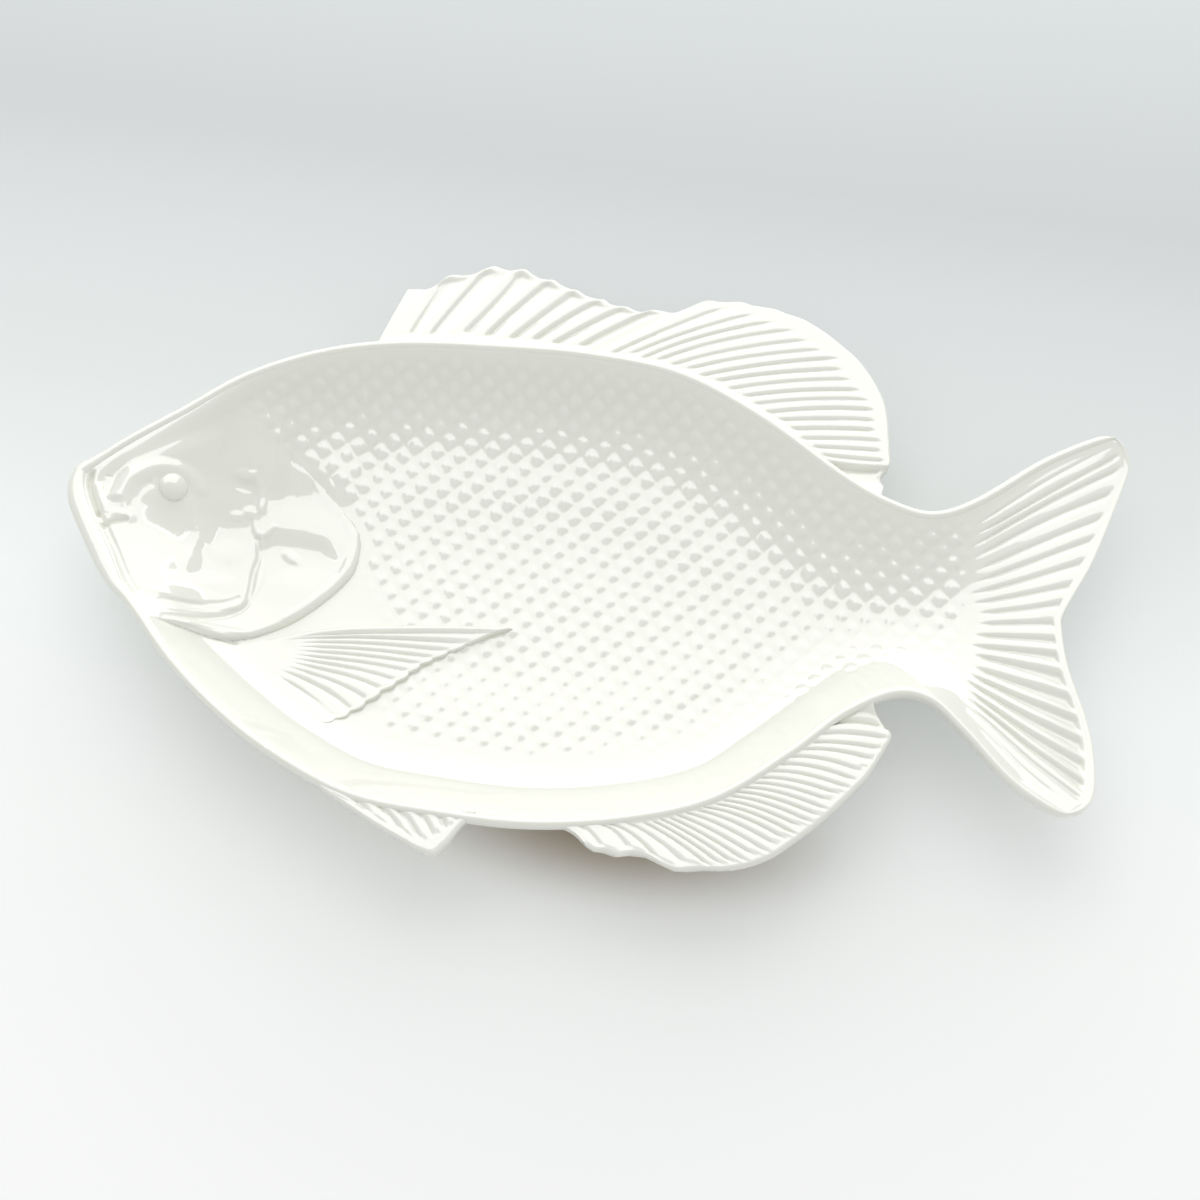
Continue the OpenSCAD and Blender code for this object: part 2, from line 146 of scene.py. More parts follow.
def ridge(p: Array, line: Any, width: float, height: float) -> Array:
    """Rounded ridge, or with a negative height a groove, along a line that tapers at its ends.

    Args:
        p: points, one a row.
        line: points of the line, which a smooth curve joins.
        width: distance from the middle at which it has faded out.
        height: rise in the middle.

    Returns:
        The rise at each point.
    """
    rise = np.zeros(len(p))
    bends = smooth_line(line, 5)
    low, high = bends.min(0) - width, bends.max(0) + width
    near = np.flatnonzero(((p > low) & (p < high)).all(1))
    if len(near):
        d = np.minimum(line_distance(p[near], bends) / width, 1.0)
        rise[near] = height * np.cos(d * math.pi / 2) ** 2
    return rise


def dome(p: Array, x: float, y: float, rx: float, ry: float, height: float, turn: float = 0.0) -> Array:
    """Soft oval swelling, or with a negative height a dimple.

    Args:
        p: points, one a row.
        x: place of its middle.
        y: place of its middle.
        rx: half length.
        ry: half width.
        height: rise in the middle.
        turn: turn of its length from X, in degrees.

    Returns:
        The rise at each point.
    """
    c, s = math.cos(math.radians(turn)), math.sin(math.radians(turn))
    u = ((p[:, 0] - x) * c + (p[:, 1] - y) * s) / rx
    v = (-(p[:, 0] - x) * s + (p[:, 1] - y) * c) / ry
    r2 = np.minimum(u * u + v * v, 1.0)
    return height * (1.0 - r2) ** 2


@dataclass(frozen=True)
class DishPlan:
    """Outline of the well and the lines that part its zones, as shares of the dish's length and width."""

    length: float = 460.0
    width: float = 288.0
    back: tuple = (
        (-0.486, 0.020), (-0.455, 0.077), (-0.408, 0.146), (-0.357, 0.222), (-0.292, 0.281),
        (-0.218, 0.316), (-0.119, 0.334), (-0.030, 0.341), (0.060, 0.327), (0.144, 0.268),
        (0.226, 0.184), (0.275, 0.146), (0.318, 0.135), (0.360, 0.168), (0.424, 0.256), (0.484, 0.318),
    )
    belly: tuple = (
        (-0.4235, -0.148), (-0.3945, -0.1945), (-0.353, -0.260), (-0.299, -0.325), (-0.240, -0.378),
        (-0.168, -0.420), (-0.090, -0.428), (-0.010, -0.424), (0.070, -0.398), (0.144, -0.351),
        (0.205, -0.268), (0.250, -0.194), (0.295, -0.149), (0.332, -0.152), (0.366, -0.195),
        (0.410, -0.262), (0.455, -0.303),
    )
    jaw: tuple = (
        (-0.4235, -0.148), (-0.441, -0.106), (-0.4575, -0.070), (-0.4735, -0.0335), (-0.4835, -0.004),
        (-0.486, 0.020),
    )
    tail_end: tuple = (
        (0.455, -0.303), (0.472, -0.276), (0.474, -0.220), (0.467, -0.158), (0.448, -0.075),
        (0.440, -0.012), (0.442, 0.021), (0.465, 0.107), (0.483, 0.198), (0.495, 0.270),
        (0.492, 0.303), (0.484, 0.318),
    )
    cheek: tuple = (
        (-0.372, -0.152), (-0.325, -0.136), (-0.308, -0.085), (-0.314, -0.020), (-0.324, 0.040),
        (-0.344, 0.088), (-0.372, 0.130),
    )
    gill: tuple = (
        (-0.345, -0.184), (-0.290, -0.170), (-0.240, -0.130), (-0.217, -0.065), (-0.219, 0.000),
        (-0.245, 0.055), (-0.286, 0.104), (-0.322, 0.150),
    )
    tail_root: tuple = ((0.352, -0.080), (0.353, 0.000), (0.345, 0.070))
    back_cuts: tuple = (0.0, 0.125, 0.185, 0.835, 1.0)
    belly_cuts: tuple = (0.0, 0.012, 0.055, 0.855, 1.0)

    def place(self, shares: Any) -> Array:
        """Points given in shares, in millimetres."""
        return np.asarray(shares, float) * (self.length, self.width)

    def line(self, name: str, steps: int = 24) -> Array:
        """Smooth line of one of the well's edges, in millimetres."""
        return smooth_line(self.place(getattr(self, name)), steps)

    def parting(self, name: str, zone: int) -> Array:
        """Line that parts two zones, from the belly edge to the back edge.

        Args:
            name: field that holds the line's own points.
            zone: number of the cut on both edges.

        Returns:
            The points of the line.
        """
        below = at_shares(self.line("belly"), [self.belly_cuts[zone]])
        above = at_shares(self.line("back"), [self.back_cuts[zone]])
        return smooth_line(np.vstack([below, self.place(getattr(self, name)), above]), 24)


class HeightMap:
    """Values on a square grid of places, read between them with a smooth curve."""

    def __init__(self, low: Sequence[float], high: Sequence[float], step: float, source: Callable[[Array], Array]):
        """Fills the grid.

        Args:
            low: lowest x and y.
            high: highest x and y.
            step: distance between two places.
            source: gives the value at each row of x and y.
        """
        self.low = np.asarray(low, float)
        self.step = step
        xs = np.arange(low[0], high[0] + step, step)
        ys = np.arange(low[1], high[1] + step, step)
        gx, gy = np.meshgrid(xs, ys, indexing="ij")
        self.values = source(np.c_[gx.ravel(), gy.ravel()]).reshape(gx.shape)

    def read(self, p: Array) -> Array:
        """Value at each of the points.

        Args:
            p: points, one a row.

        Returns:
            One value for each point.
        """
        q = (p - self.low) / self.step
        limit = np.array(self.values.shape) - 3
        base = np.clip(np.floor(q).astype(int), 1, limit)
        t = q - base
        weights = []
        for axis in (0, 1):
            s = t[:, axis]
            weights.append((
                (-s + 2 * s**2 - s**3) / 2, (2 - 5 * s**2 + 3 * s**3) / 2,
                (s + 4 * s**2 - 3 * s**3) / 2, (-(s**2) + s**3) / 2,
            ))
        out = np.zeros(len(p))
        for i in range(4):
            for j in range(4):
                out += weights[0][i] * weights[1][j] * self.values[base[:, 0] + i - 1, base[:, 1] + j - 1]
        return out


@dataclass(frozen=True)
class ScaleField:
    """Rows of domed scales that cover the body."""

    first: tuple = (-0.3, 6.2)
    step_up: tuple = (5.05, 5.8)
    step_down: tuple = (5.15, -6.35)
    height: float = 0.66
    pillow: float = 1.6
    lean: float = 0.3
    uneven: float = 0.3

    def rise(self, u: Array, v: Array) -> Array:
        """Height of the scales at places given along and across the rows.

        Args:
            u: place along the body.
            v: place across it, measured over the surface.

        Returns:
            The rise from the grooves.
        """
        du, dv = u - self.first[0], v - self.first[1]
        det = self.step_up[0] * self.step_down[1] - self.step_up[1] * self.step_down[0]
        a = (du * self.step_down[1] - dv * self.step_down[0]) / det
        b = (self.step_up[0] * dv - self.step_up[1] * du) / det
        ia, ib = np.round(a), np.round(b)
        own = np.sin(ia * 12.9898 + ib * 78.233) * 43758.5453
        own = own - np.floor(own) - 0.5
        fa, fb = a - ia, b - ib
        fa = fa - self.lean * (1 + 1.2 * own) * (0.25 - fa * fa)
        fb = fb - self.lean * (1 - 1.2 * own) * (0.25 - fb * fb)
        both = np.maximum(np.cos(math.pi * fa) * np.cos(math.pi * fb), 0.0)
        return self.height * (1 + self.uneven * own) * both**self.pillow


# Places on the head in millimetres: the free edge of the gill cover, and the rim of the eye's hollow.
FLAP_EDGE = (
    (-184, -58), (-170, -56.5), (-156, -56), (-143, -52), (-130, -43.4), (-121.9, -36.8), (-114.6, -29),
    (-108, -20), (-103.8, -12), (-102.8, -4), (-103.6, 4), (-106.5, 10.7), (-113.5, 17.6), (-121, 23.6),
    (-127.6, 29.6), (-135.5, 35), (-146, 39), (-158, 43), (-170, 52), (-178, 66), (-184, 84),
)
EYE_HOLLOW = (
    (-140, -8), (-148.3, -7), (-152.3, -3.8), (-160.5, -3.5), (-164, -6), (-163.4, -12), (-166.5, -14.5),
    (-169.5, -14), (-169.4, -17.5), (-170, -19.5), (-173.5, -18.5), (-177, -15), (-178.4, -12.4), (-187.3, -12),
    (-195, -13.2), (-202, -14.4), (-212, -15),
)
# Ridges of the head, each a line, its half width and its height. A height below 0 is a groove.
HEAD_RIDGES = (
    (((-113, 15), (-108, 8), (-106.5, 0), (-107, -10), (-112, -20), (-119, -29), (-128, -38)), 3.0, 0.35),
    (((-156, 27), (-153.2, 22.5), (-151, 17), (-150, 12)), 3.2, 0.6),
    (((-150.5, 13), (-152, 7), (-150, 1), (-146.5, 0.5), (-143, 5)), 2.6, 0.4),
    (
        ((-149, -2), (-146.4, -10), (-146.8, -18), (-146, -28), (-146.4, -36), (-151, -42), (-162, -48), (-174, -52)),
        2.3, -0.9,
    ),
    (((-150, -33), (-156, -37.5), (-166, -41), (-178, -44)), 2.2, -0.45),
    (((-150, -37.5), (-158, -42.5), (-168, -46), (-180, -48.5)), 2.0, 0.4),
    (((-207, 2), (-204.5, 9), (-199, 15.4), (-193, 19.4), (-186.5, 21.2), (-180.5, 19.5), (-176.5, 15.5)), 5.0, 1.0),
    (((-201, -2), (-199.5, 5), (-196.5, 10.5)), 3.0, -0.35),
    (((-212, -9), (-206, -7.4), (-200, -8)), 3.2, 0.5),
    (((-203.4, -20), (-206, -24), (-204.4, -30), (-199.6, -38.4), (-193.8, -45)), 3.4, 0.5),
    (((-184, -57), (-176, -55.5), (-166, -54.5), (-156, -55), (-146, -54.5)), 1.9, -0.9),
    (((-164, -51.8), (-152, -50.6), (-143, -49.6)), 2.6, 0.6),
)
# Grooves of the mouth, which run on up to the rim.
MOUTH_CREASES = (
    (((-221.6, 7), (-220.6, -0.4), (-216.4, -8), (-213.4, -13)), 2.2, -1.9),
    (((-213.4, -13), (-208.4, -19), (-201, -29.2), (-194.4, -39), (-188, -46)), 3.0, -1.0),
    (((-213.5, -21.5), (-210, -18.5), (-206, -15), (-201.5, -12.5)), 2.2, -1.4),
)
# Soft swellings of the head: place, half length, half width, height and turn in degrees.
HEAD_DOMES = (
    (-186, 13, 26, 13, 1.1, 6), (-132, -8, 7.5, 4.0, 0.95, -28),
    (-128, -22, 17, 11, 0.7, 32), (-160, 7, 4.2, 3.4, 0.55), (-155, 9.6, 4.4, 4.0, 0.6),
    (-160, 26, 7.5, 3.4, 0.65, -4), (-160, 21.5, 7, 3.6, -0.5, -8),
    (-173.6, -19, 5.4, 9, 0.75, 18), (-159.5, -11.5, 9, 8.4, 0.9, 8), (-160, -27, 12, 6, 0.6, 0),
    (-193, -29, 8, 9, 0.45), (-187, 12.4, 9.4, 9.4, -0.6), (-166, -33, 16, 10, 0.5),
    (-209.5, 0.4, 5, 2.6, 0.5, 5), (-214, 9.8, 2.4, 1.2, -0.7, 5),
)


@dataclass
class Well:
    """Heights of the dish's inner surface and underside, with the relief of head and body."""

    plan: DishPlan = field(default_factory=DishPlan)
    rim_z: float = 40.0
    wall_t: float = 5.5
    wall_run: float = 48.0
    wall_power: float = 2.2
    snout_drop: float = 8.0
    dip: float = 2.2
    foot_swell: float = 2.0
    foot_mid: float = 46.0
    foot_half: float = 32.0
    tail_drop: float = 6.0
    bead_h: float = 1.2
    foot_h: float = 5.0
    fade_run: float = 14.0
    gill_rise: float = 1.3
    gill_step: float = 2.1
    gill_roll: float = 2.8
    cheek_step: float = 0.9
    shelf_h: float = 2.3
    crown_h: float = 3.6
    hollow_h: float = 2.9
    nape_roll: float = 8.5
    scales: ScaleField = field(default_factory=ScaleField)

    def __post_init__(self) -> None:
        """Works out the distance to the rim over the whole dish, once."""
        self.floor_z = self.foot_h + self.wall_t
        self.edge_z = self.rim_z - self.bead_h
        self.back = self.plan.line("back")
        self.belly = self.plan.line("belly")
        self.jaw = self.plan.line("jaw")
        self.gill_line = self.plan.parting("gill", 2)
        self.cheek_line = self.plan.parting("cheek", 1)
        low, high = (-236.0, -140.0), (236.0, 112.0)
        self.from_back = HeightMap(low, high, 2.0, lambda p: line_distance(p, self.back[::4], True))
        self.from_belly = HeightMap(low, high, 2.0, lambda p: -line_distance(p, self.belly[::4], True))
        self.from_jaw = HeightMap(low, high, 2.0, lambda p: line_distance(p, self.jaw[::4], True))
        self.from_cheek = HeightMap(low, (-40.0, 112.0), 2.0, lambda p: line_distance(p, self.cheek_line[::4], True))
        flap, hollow = smooth_line(FLAP_EDGE, 8), smooth_line(EYE_HOLLOW, 4)
        self.from_flap = HeightMap(low, (-40.0, 112.0), 1.5, lambda p: line_distance(p, flap, True))
        self.from_hollow = HeightMap(low, (-90.0, 60.0), 1.0, lambda p: line_distance(p, hollow, True))
        r = np.linspace(0.0, self.wall_run, 97)
        slope = (self.edge_z - self.floor_z) * self.wall_power / self.wall_run
        slope = slope * (1 - r / self.wall_run) ** (self.wall_power - 1)
        extra = np.sqrt(1 + slope**2) - 1
        self.spread_r = r
        self.spread = np.concatenate([[0.0], np.cumsum((extra[1:] + extra[:-1]) / 2 * np.diff(r))])
        self.spread = self.spread[-1] - self.spread

    def sides(self, p: Array) -> tuple[Array, Array, Array]:
        """Distances from the back, belly and jaw edges."""
        return self.from_back.read(p), self.from_belly.read(p), self.from_jaw.read(p)

    def from_rim(self, p: Array) -> Array:
        """Distance from the rim, rounded where two edges are near.

        Args:
            p: points, one a row.

        Returns:
            One distance for each point, and no less than 0.
        """
        ds = np.maximum(np.stack(self.sides(p)), 1e-4)
        least = ds.min(0)
        return least * ((ds / least) ** -4.0).sum(0) ** -0.25

    def floor_at(self, x: Array) -> Array:
        """Height of the floor, which climbs to the snout and to the tail.

        Args:
            x: places along the dish.

        Returns:
            One height for each place.
        """
        share = x / self.plan.length
        snout = (self.edge_z - self.snout_drop - self.floor_z) * ease((share + 0.330) / -0.150)
        tail = (self.rim_z - self.tail_drop - self.floor_z) * ease((share - 0.150) / 0.310)
        return self.floor_z + snout + tail

    def profile(self, p: Array, run: Array) -> Array:
        """Height of the well's plain wall and floor.

        Args:
            p: points, one a row.
            run: distance from the rim.

        Returns:
            One height for each point.
        """
        low = self.floor_at(p[:, 0])
        return low + (self.edge_z - low) * (1 - np.clip(run / self.wall_run, 0, 1)) ** self.wall_power

    def bare(self, p: Array, run: Optional[Array] = None) -> Array:
        """Height of the smooth inner surface, whose floor dips a little to the middle.

        Args:
            p: points, one a row.
            run: distance from the rim, where it is already known.

        Returns:
            One height for each point.
        """
        run = self.from_rim(p) if run is None else run
        across = np.clip(1 - ((p[:, 1] + 8.0) / 72.0) ** 2, 0, 1)
        along = np.clip(1 - ((p[:, 0] - 5.0) / 165.0) ** 2, 0, 1)
        foot = np.cos(np.clip((run - self.foot_mid) / self.foot_half, -1, 1) * math.pi / 2) ** 2
        foot = foot * swell(p[:, 0], -130.0, -80.0) * (1 - swell(p[:, 0], 80.0, 130.0))
        return self.profile(p, run) + self.foot_swell * foot - self.dip * across * along * ease((run - 8.0) / 40.0)

    def under(self, p: Array) -> Array:
        """Height of the underside."""
        return np.maximum(self.foot_h, self.profile(p, self.from_rim(p) + self.wall_t / 2) - self.wall_t)

    def body_relief(self, p: Array, run: Array) -> Array:
        """Scales of the body, which fade out towards the rim, the belly, the gill and the nape.

        Args:
            p: points, one a row.
            run: distance from the rim.

        Returns:
            The rise at each point.
        """
        x, y = p[:, 0], p[:, 1]
        back, belly, _ = self.sides(p)
        stretch = np.interp(run, self.spread_r, self.spread) * np.where(back < belly, 1.0, -1.0)
        mask = swell(back, 0.5, 7.0) * (1 + 0.4 * (1 - swell(back, 24.0, 50.0)))
        edge = 36.5 - 16.0 * swell(x, 30.0, 110.0)
        mask = mask * swell(belly, edge - 4.0, edge + 4.0)
        mask = mask * np.where(x < -60, swell(self.from_flap.read(p), 1.0, 7.0), 1.0) * swell(x, -176.0, -156.0)
        low = 1 - swell(y, -4.0, 26.0)
        mask = mask * (1 - low * (1 - swell(x + 0.75 * np.maximum(y, -38.0), -114.0, -100.0)))
        mask = mask * (1 - (1 - swell(x, -88.0, -78.0)) * (1 - swell(y, -34.0, -26.0)))
        mask = mask * (1 - swell(x, 157.0, 167.0))
        return mask * self.scales.rise(x + 0.03 * (y - 10), y + stretch + 0.021 * (x - 20))

    def head_relief(self, p: Array, run: Array) -> Array:
        """Cheek, gill cover, brow, mouth corner and throat.

        Args:
            p: points, one a row.
            run: distance from the rim.

        Returns:
            The rise at each point.
        """
        x, y = p[:, 0], p[:, 1]
        q = np.c_[x, y + 3.4 * swell(-x, 150.0, 190.0)]
        hollow = self.hollow_h * swell(self.from_hollow.read(q), -1.0, 21.0) * (1 - swell(y, 28.0, 70.0))
        relief = hollow * swell(x, -214.0, -204.0) * (1 - swell(x, -151.0, -141.0))
        relief = relief + sum(ridge(q, line, width, height) for line, width, height in HEAD_RIDGES)
        relief = relief + sum(dome(q, *spec) for spec in HEAD_DOMES)
        crease = sum(ridge(p, line, width, height) for line, width, height in MOUTH_CREASES) * ease(run / 2.2)
        forms = self.gill_lift(p) + self.gill_shelf(p) + self.crown(p) + relief
        return forms * ease(run / self.fade_run) + crease + self.head_roll(p)

    def gill_lift(self, p: Array) -> Array:
        """Rise of the gill cover over the body, with a rolled free edge, and of the cheek over the gill cover.

        Args:
            p: points, one a row.

        Returns:
            The rise at each point.
        """
        y = p[:, 1]
        flap, cheek = self.from_flap.read(p), self.from_cheek.read(p)
        edge = 0.7 + self.gill_step * (1 - swell(y, -10.0, 14.0))
        lift = self.gill_rise + (edge - self.gill_rise) * np.exp(-((np.minimum(flap, 0.0) / 13.0) ** 2))
        lift = lift + self.cheek_step * (1 - swell(cheek, -2.6, 0.6)) * (1 - swell(y, -6.0, 14.0))
        roll = np.clip((flap + self.gill_roll) / self.gill_roll, 0.0, 1.0)
        return lift * np.sqrt(np.maximum(1.0 - roll**2, 0.0)) * (1 - swell(y, 24.0, 44.0))

    def gill_shelf(self, p: Array) -> Array:
        """Step across the middle of the gill cover, with its upper half the higher one.

        Args:
            p: points, one a row.

        Returns:
            The rise at each point.
        """
        x = p[:, 0]
        off = p[:, 1] - np.interp(x, (-150, -141, -130, -120, -110), (-4.0, 1.0, 1.6, 0.6, -3.4))
        shelf = (swell(off, -5.4, 5.4) - 0.5) * (1 - swell(np.abs(off), 7.0, 26.0))
        return self.shelf_h * (shelf * swell(x, -152.0, -143.0) * (1 - swell(x, -121.0, -104.0)))

    def crown(self, p: Array) -> Array:
        """Broad swelling above the gill cover, towards the nape.

        Args:
            p: points, one a row.

        Returns:
            The rise at each point.
        """
        x, y = p[:, 0], p[:, 1]
        over = y - np.interp(x, (-160, -150, -137, -130, -124, -117), (17.0, 16.2, 15.9, 20.0, 18.8, 16.0))
        crown = self.crown_h * swell(over, -1.0, 20.0) * (1 - swell(y, 38.0, 70.0))
        return crown * swell(x, -172.0, -156.0) * (1 - swell(x, -120.0, -104.0))

    def head_roll(self, p: Array) -> Array:
        """Broad rounding of the wall towards the rim on top of the head.

        Args:
            p: points, one a row.

        Returns:
            The rise at each point.
        """
        back, _, jaw = self.sides(p)
        d = np.clip(back, 0.0, self.nape_roll)
        steep = 0.85 * swell(p[:, 0], -226.0, -212.0) * (1 - swell(p[:, 0], -178.0, -150.0))
        return steep * d * (1 - d / self.nape_roll) ** 2 * swell(jaw, 0.0, 6.0)

    def top(self, p: Array) -> Array:
        """Height of the inner surface with its relief.

        Args:
            p: points, one a row.

        Returns:
            One height for each point.
        """
        run = self.from_rim(p)
        z = self.bare(p, run)
        head = p[:, 0] < -92
        z[head] += self.head_relief(p[head], run[head])
        body = (p[:, 0] > -176) & (p[:, 0] < 168)
        z[body] += self.body_relief(p[body], run[body])
        return z

    def normals(self, p: Array, step: float = 0.12) -> Array:
        """Direction of the inner surface, which two zones share where they meet.

        Args:
            p: points, one a row.
            step: distance over which the slope is taken.

        Returns:
            A unit vector for each point.
        """
        dx, dy = np.array([step, 0.0]), np.array([0.0, step])
        gx = (self.top(p + dx) - self.top(p - dx)) / (2 * step)
        gy = (self.top(p + dy) - self.top(p - dy)) / (2 * step)
        n = np.stack([-gx, -gy, np.ones(len(p))], axis=-1)
        return n / np.linalg.norm(n, axis=1)[:, None]


def patch(a: Array, b: Array, low: Array, high: Array) -> Array:
    """Fills the room between four lines with a grid of points.

    Args:
        a: line at the start, from low to high.
        b: line at the end, from low to high.
        low: lower side, from a to b.
        high: upper side, from a to b.

    Returns:
        Rows of points from a to b.
    """
    u = np.linspace(0, 1, len(low))[:, None, None]
    v = np.linspace(0, 1, len(a))[None, :, None]
    ends = a[None] * (1 - u) + b[None] * u
    sides = low[:, None] * (1 - v) + high[:, None] * v
    corners = (a[0] * (1 - v) + a[-1] * v) * (1 - u) + (b[0] * (1 - v) + b[-1] * v) * u
    return ends + sides - corners


def grid_normals(points: Array) -> Array:
    """Direction of a grid of points at each of them, upwards.

    Args:
        points: rows of points.

    Returns:
        A unit vector for each point.
    """
    n = np.cross(np.gradient(points, axis=0), np.gradient(points, axis=1))
    n = n / np.maximum(np.linalg.norm(n, axis=2, keepdims=True), 1e-9)
    return n * np.where(n[..., 2:3] < 0, -1.0, 1.0)


def blurred(z: Array, times: int) -> Array:
    """Evens out each height of a grid with its neighbours.

    Args:
        z: heights.
        times: how often it is done.

    Returns:
        The softer heights.
    """
    for _ in range(times):
        padded = np.pad(z, 1, mode="edge")
        z = (padded[:-2, 1:-1] + padded[2:, 1:-1] + padded[1:-1, :-2] + padded[1:-1, 2:] + 2 * z) / 6
    return z


class MeshKit:
    """Makes finished objects out of points and faces."""

    SHARP_EDGE = 60.0
    BLUR_TIMES = 14
    HOLLOW_GAIN = 3.0

    @staticmethod
    def closed(name: str, points: Array, faces: list[Array]) -> bpy.types.Object:
        """Makes an object from faces with three or four corners.

        Args:
            name: name of the piece.
            points: points in millimetres.
            faces: arrays of faces, each with its own number of corners.

        Returns:
            The new object.
        """
        mesh = bpy.data.meshes.new(name)
        mesh.vertices.add(len(points))
        mesh.vertices.foreach_set("co", np.ascontiguousarray(points * MM, dtype=np.float32).ravel())
        loops = np.concatenate([f.ravel() for f in faces]).astype(np.int32)
        sizes = np.concatenate([np.full(len(f), f.shape[1]) for f in faces])
        mesh.loops.add(len(loops))
        mesh.loops.foreach_set("vertex_index", loops)
        mesh.polygons.add(len(sizes))
        starts = np.concatenate([[0], np.cumsum(sizes)[:-1]]).astype(np.int32)
        mesh.polygons.foreach_set("loop_start", starts)
        mesh.update(calc_edges=True)
        mesh.validate()
        made = bpy.data.objects.new(name, mesh)
        bpy.context.scene.collection.objects.link(made)
        return made

    @staticmethod
    def only(target: bpy.types.Object) -> None:
        """Selects one object and makes it active.

        Args:
            target: the object.
        """
        bpy.ops.object.select_all(action="DESELECT")
        target.select_set(True)
        bpy.context.view_layer.objects.active = target

    @classmethod
    def smooth(cls, target: bpy.types.Object, angle: float) -> None:
        """Shades an object smooth, apart from edges sharper than an angle in degrees."""
        cls.only(target)
        bpy.ops.object.shade_smooth_by_angle(angle=math.radians(angle))

    @classmethod
    def smooth_evenly(cls, target: bpy.types.Object, angle: float) -> None:
        """Shades smooth an object that has no hollows for glaze to pool in."""
        cls.smooth(target, angle)
        target.data.attributes.new(HOLLOW, "FLOAT", "POINT")

    @classmethod
    def slab(
        cls, name: str, plan: Array, top: Array, under: Array, stride: int, normals: Optional[Array] = None
    ) -> bpy.types.Object:
        """Makes a closed solid with a fine upper grid and a plainer lower one.

        Args:
            name: name of the piece.
            plan: rows of points, x and y.
            top: height of each point.
            under: height of each point of the underside.
            stride: cells of the upper grid to one of the lower.
            normals: shading directions of the upper grid.

        Returns:
            The new object.
        """
        nu, nv = top.shape
        ids = np.arange(nu * nv).reshape(nu, nv)
        low = ids[::stride, ::stride]
        lu, lv = low.shape
        low_ids = nu * nv + np.arange(lu * lv).reshape(lu, lv)
        upper = np.concatenate([plan, top[..., None]], axis=2).reshape(-1, 3)
        lower_plan = plan.reshape(-1, 2)[low.ravel()]
        lower = np.c_[lower_plan, under.reshape(-1)[low.ravel()]]
        quads = np.stack([ids[:-1, :-1], ids[1:, :-1], ids[1:, 1:], ids[:-1, 1:]], axis=-1).reshape(-1, 4)
        bottom = np.stack(
            [low_ids[:-1, 1:], low_ids[1:, 1:], low_ids[1:, :-1], low_ids[:-1, :-1]], axis=-1
        ).reshape(-1, 4)
        walls = []
        loops = (
            (ids[:, 0], low_ids[:, 0]), (ids[-1, :], low_ids[-1, :]),
            (ids[::-1, -1], low_ids[::-1, -1]), (ids[0, ::-1], low_ids[0, ::-1]),
        )
        for fine, coarse in loops:
            for k in range(len(coarse) - 1):
                half = k * stride + stride // 2
                for i in range(k * stride, (k + 1) * stride):
                    foot = coarse[k] if i < half else coarse[k + 1]
                    walls.append((fine[i], foot, fine[i + 1]))
                walls.append((fine[half], coarse[k], coarse[k + 1]))
        faces = [quads, np.array(walls), bottom]
        a, b, c = plan[0, 0], plan[1, 0], plan[1, 1]
        if (b[0] - a[0]) * (c[1] - a[1]) - (b[1] - a[1]) * (c[0] - a[0]) < 0:
            faces = [f[:, ::-1] for f in faces]
        made = cls.closed(name, np.vstack([upper, lower]), faces)
        cls.smooth(made, cls.SHARP_EDGE)
        hollow = np.zeros(len(upper) + len(lower))
        depth = (blurred(top, cls.BLUR_TIMES) - top) * cls.HOLLOW_GAIN
        hollow[: len(upper)] = np.clip(depth, -1.0, 1.0).ravel()
        made.data.attributes.new(HOLLOW, "FLOAT", "POINT").data.foreach_set("value", hollow)
        if normals is not None:
            loops_n = np.zeros((len(made.data.loops), 3))
            corner = np.zeros(len(made.data.loops), dtype=np.int32)
            made.data.loops.foreach_get("vertex_index", corner)
            count = len(quads) * 4
            loops_n[:count] = normals.reshape(-1, 3)[corner[:count]]
            made.data.normals_split_custom_set(loops_n.tolist())
        return made


def even(n: int) -> Array:
    """Shares from 0 to 1 in n steps."""
    return np.linspace(0, 1, n + 1)


@dataclass
class WellZone:
    """One zone of the well between two parting lines, with its full thickness."""

    well: Well
    name: str
    zone: int
    along: int
    across: int
    stride: int = 6

    def ends(self) -> tuple[Array, Array]:
        """Lines at which the zone starts and ends."""
        lines = [self.well.jaw, self.well.cheek_line, self.well.gill_line, self.well.plan.parting("tail_root", 3)]
        return lines[self.zone], lines[self.zone + 1]

    def build(self) -> bpy.types.Object:
        """Makes the zone.

        Returns:
            The new object.
        """
        plan = self.well.plan
        start, end = self.ends()
        cut, cut_b = plan.back_cuts, plan.belly_cuts
        u = even(self.along)
        high = at_shares(self.well.back, cut[self.zone] + (cut[self.zone + 1] - cut[self.zone]) * u)
        low = at_shares(self.well.belly, cut_b[self.zone] + (cut_b[self.zone + 1] - cut_b[self.zone]) * u)
        v = even(self.across)
        grid = patch(at_shares(start, v), at_shares(end, v), low, high)
        flat = grid.reshape(-1, 2)
        top = self.well.top(flat).reshape(grid.shape[:2])
        under = self.well.under(flat).reshape(grid.shape[:2])
        normals = self.well.normals(flat).reshape(grid.shape[:2] + (3,))
        return MeshKit.slab(self.name, grid, top, under, self.stride, normals)


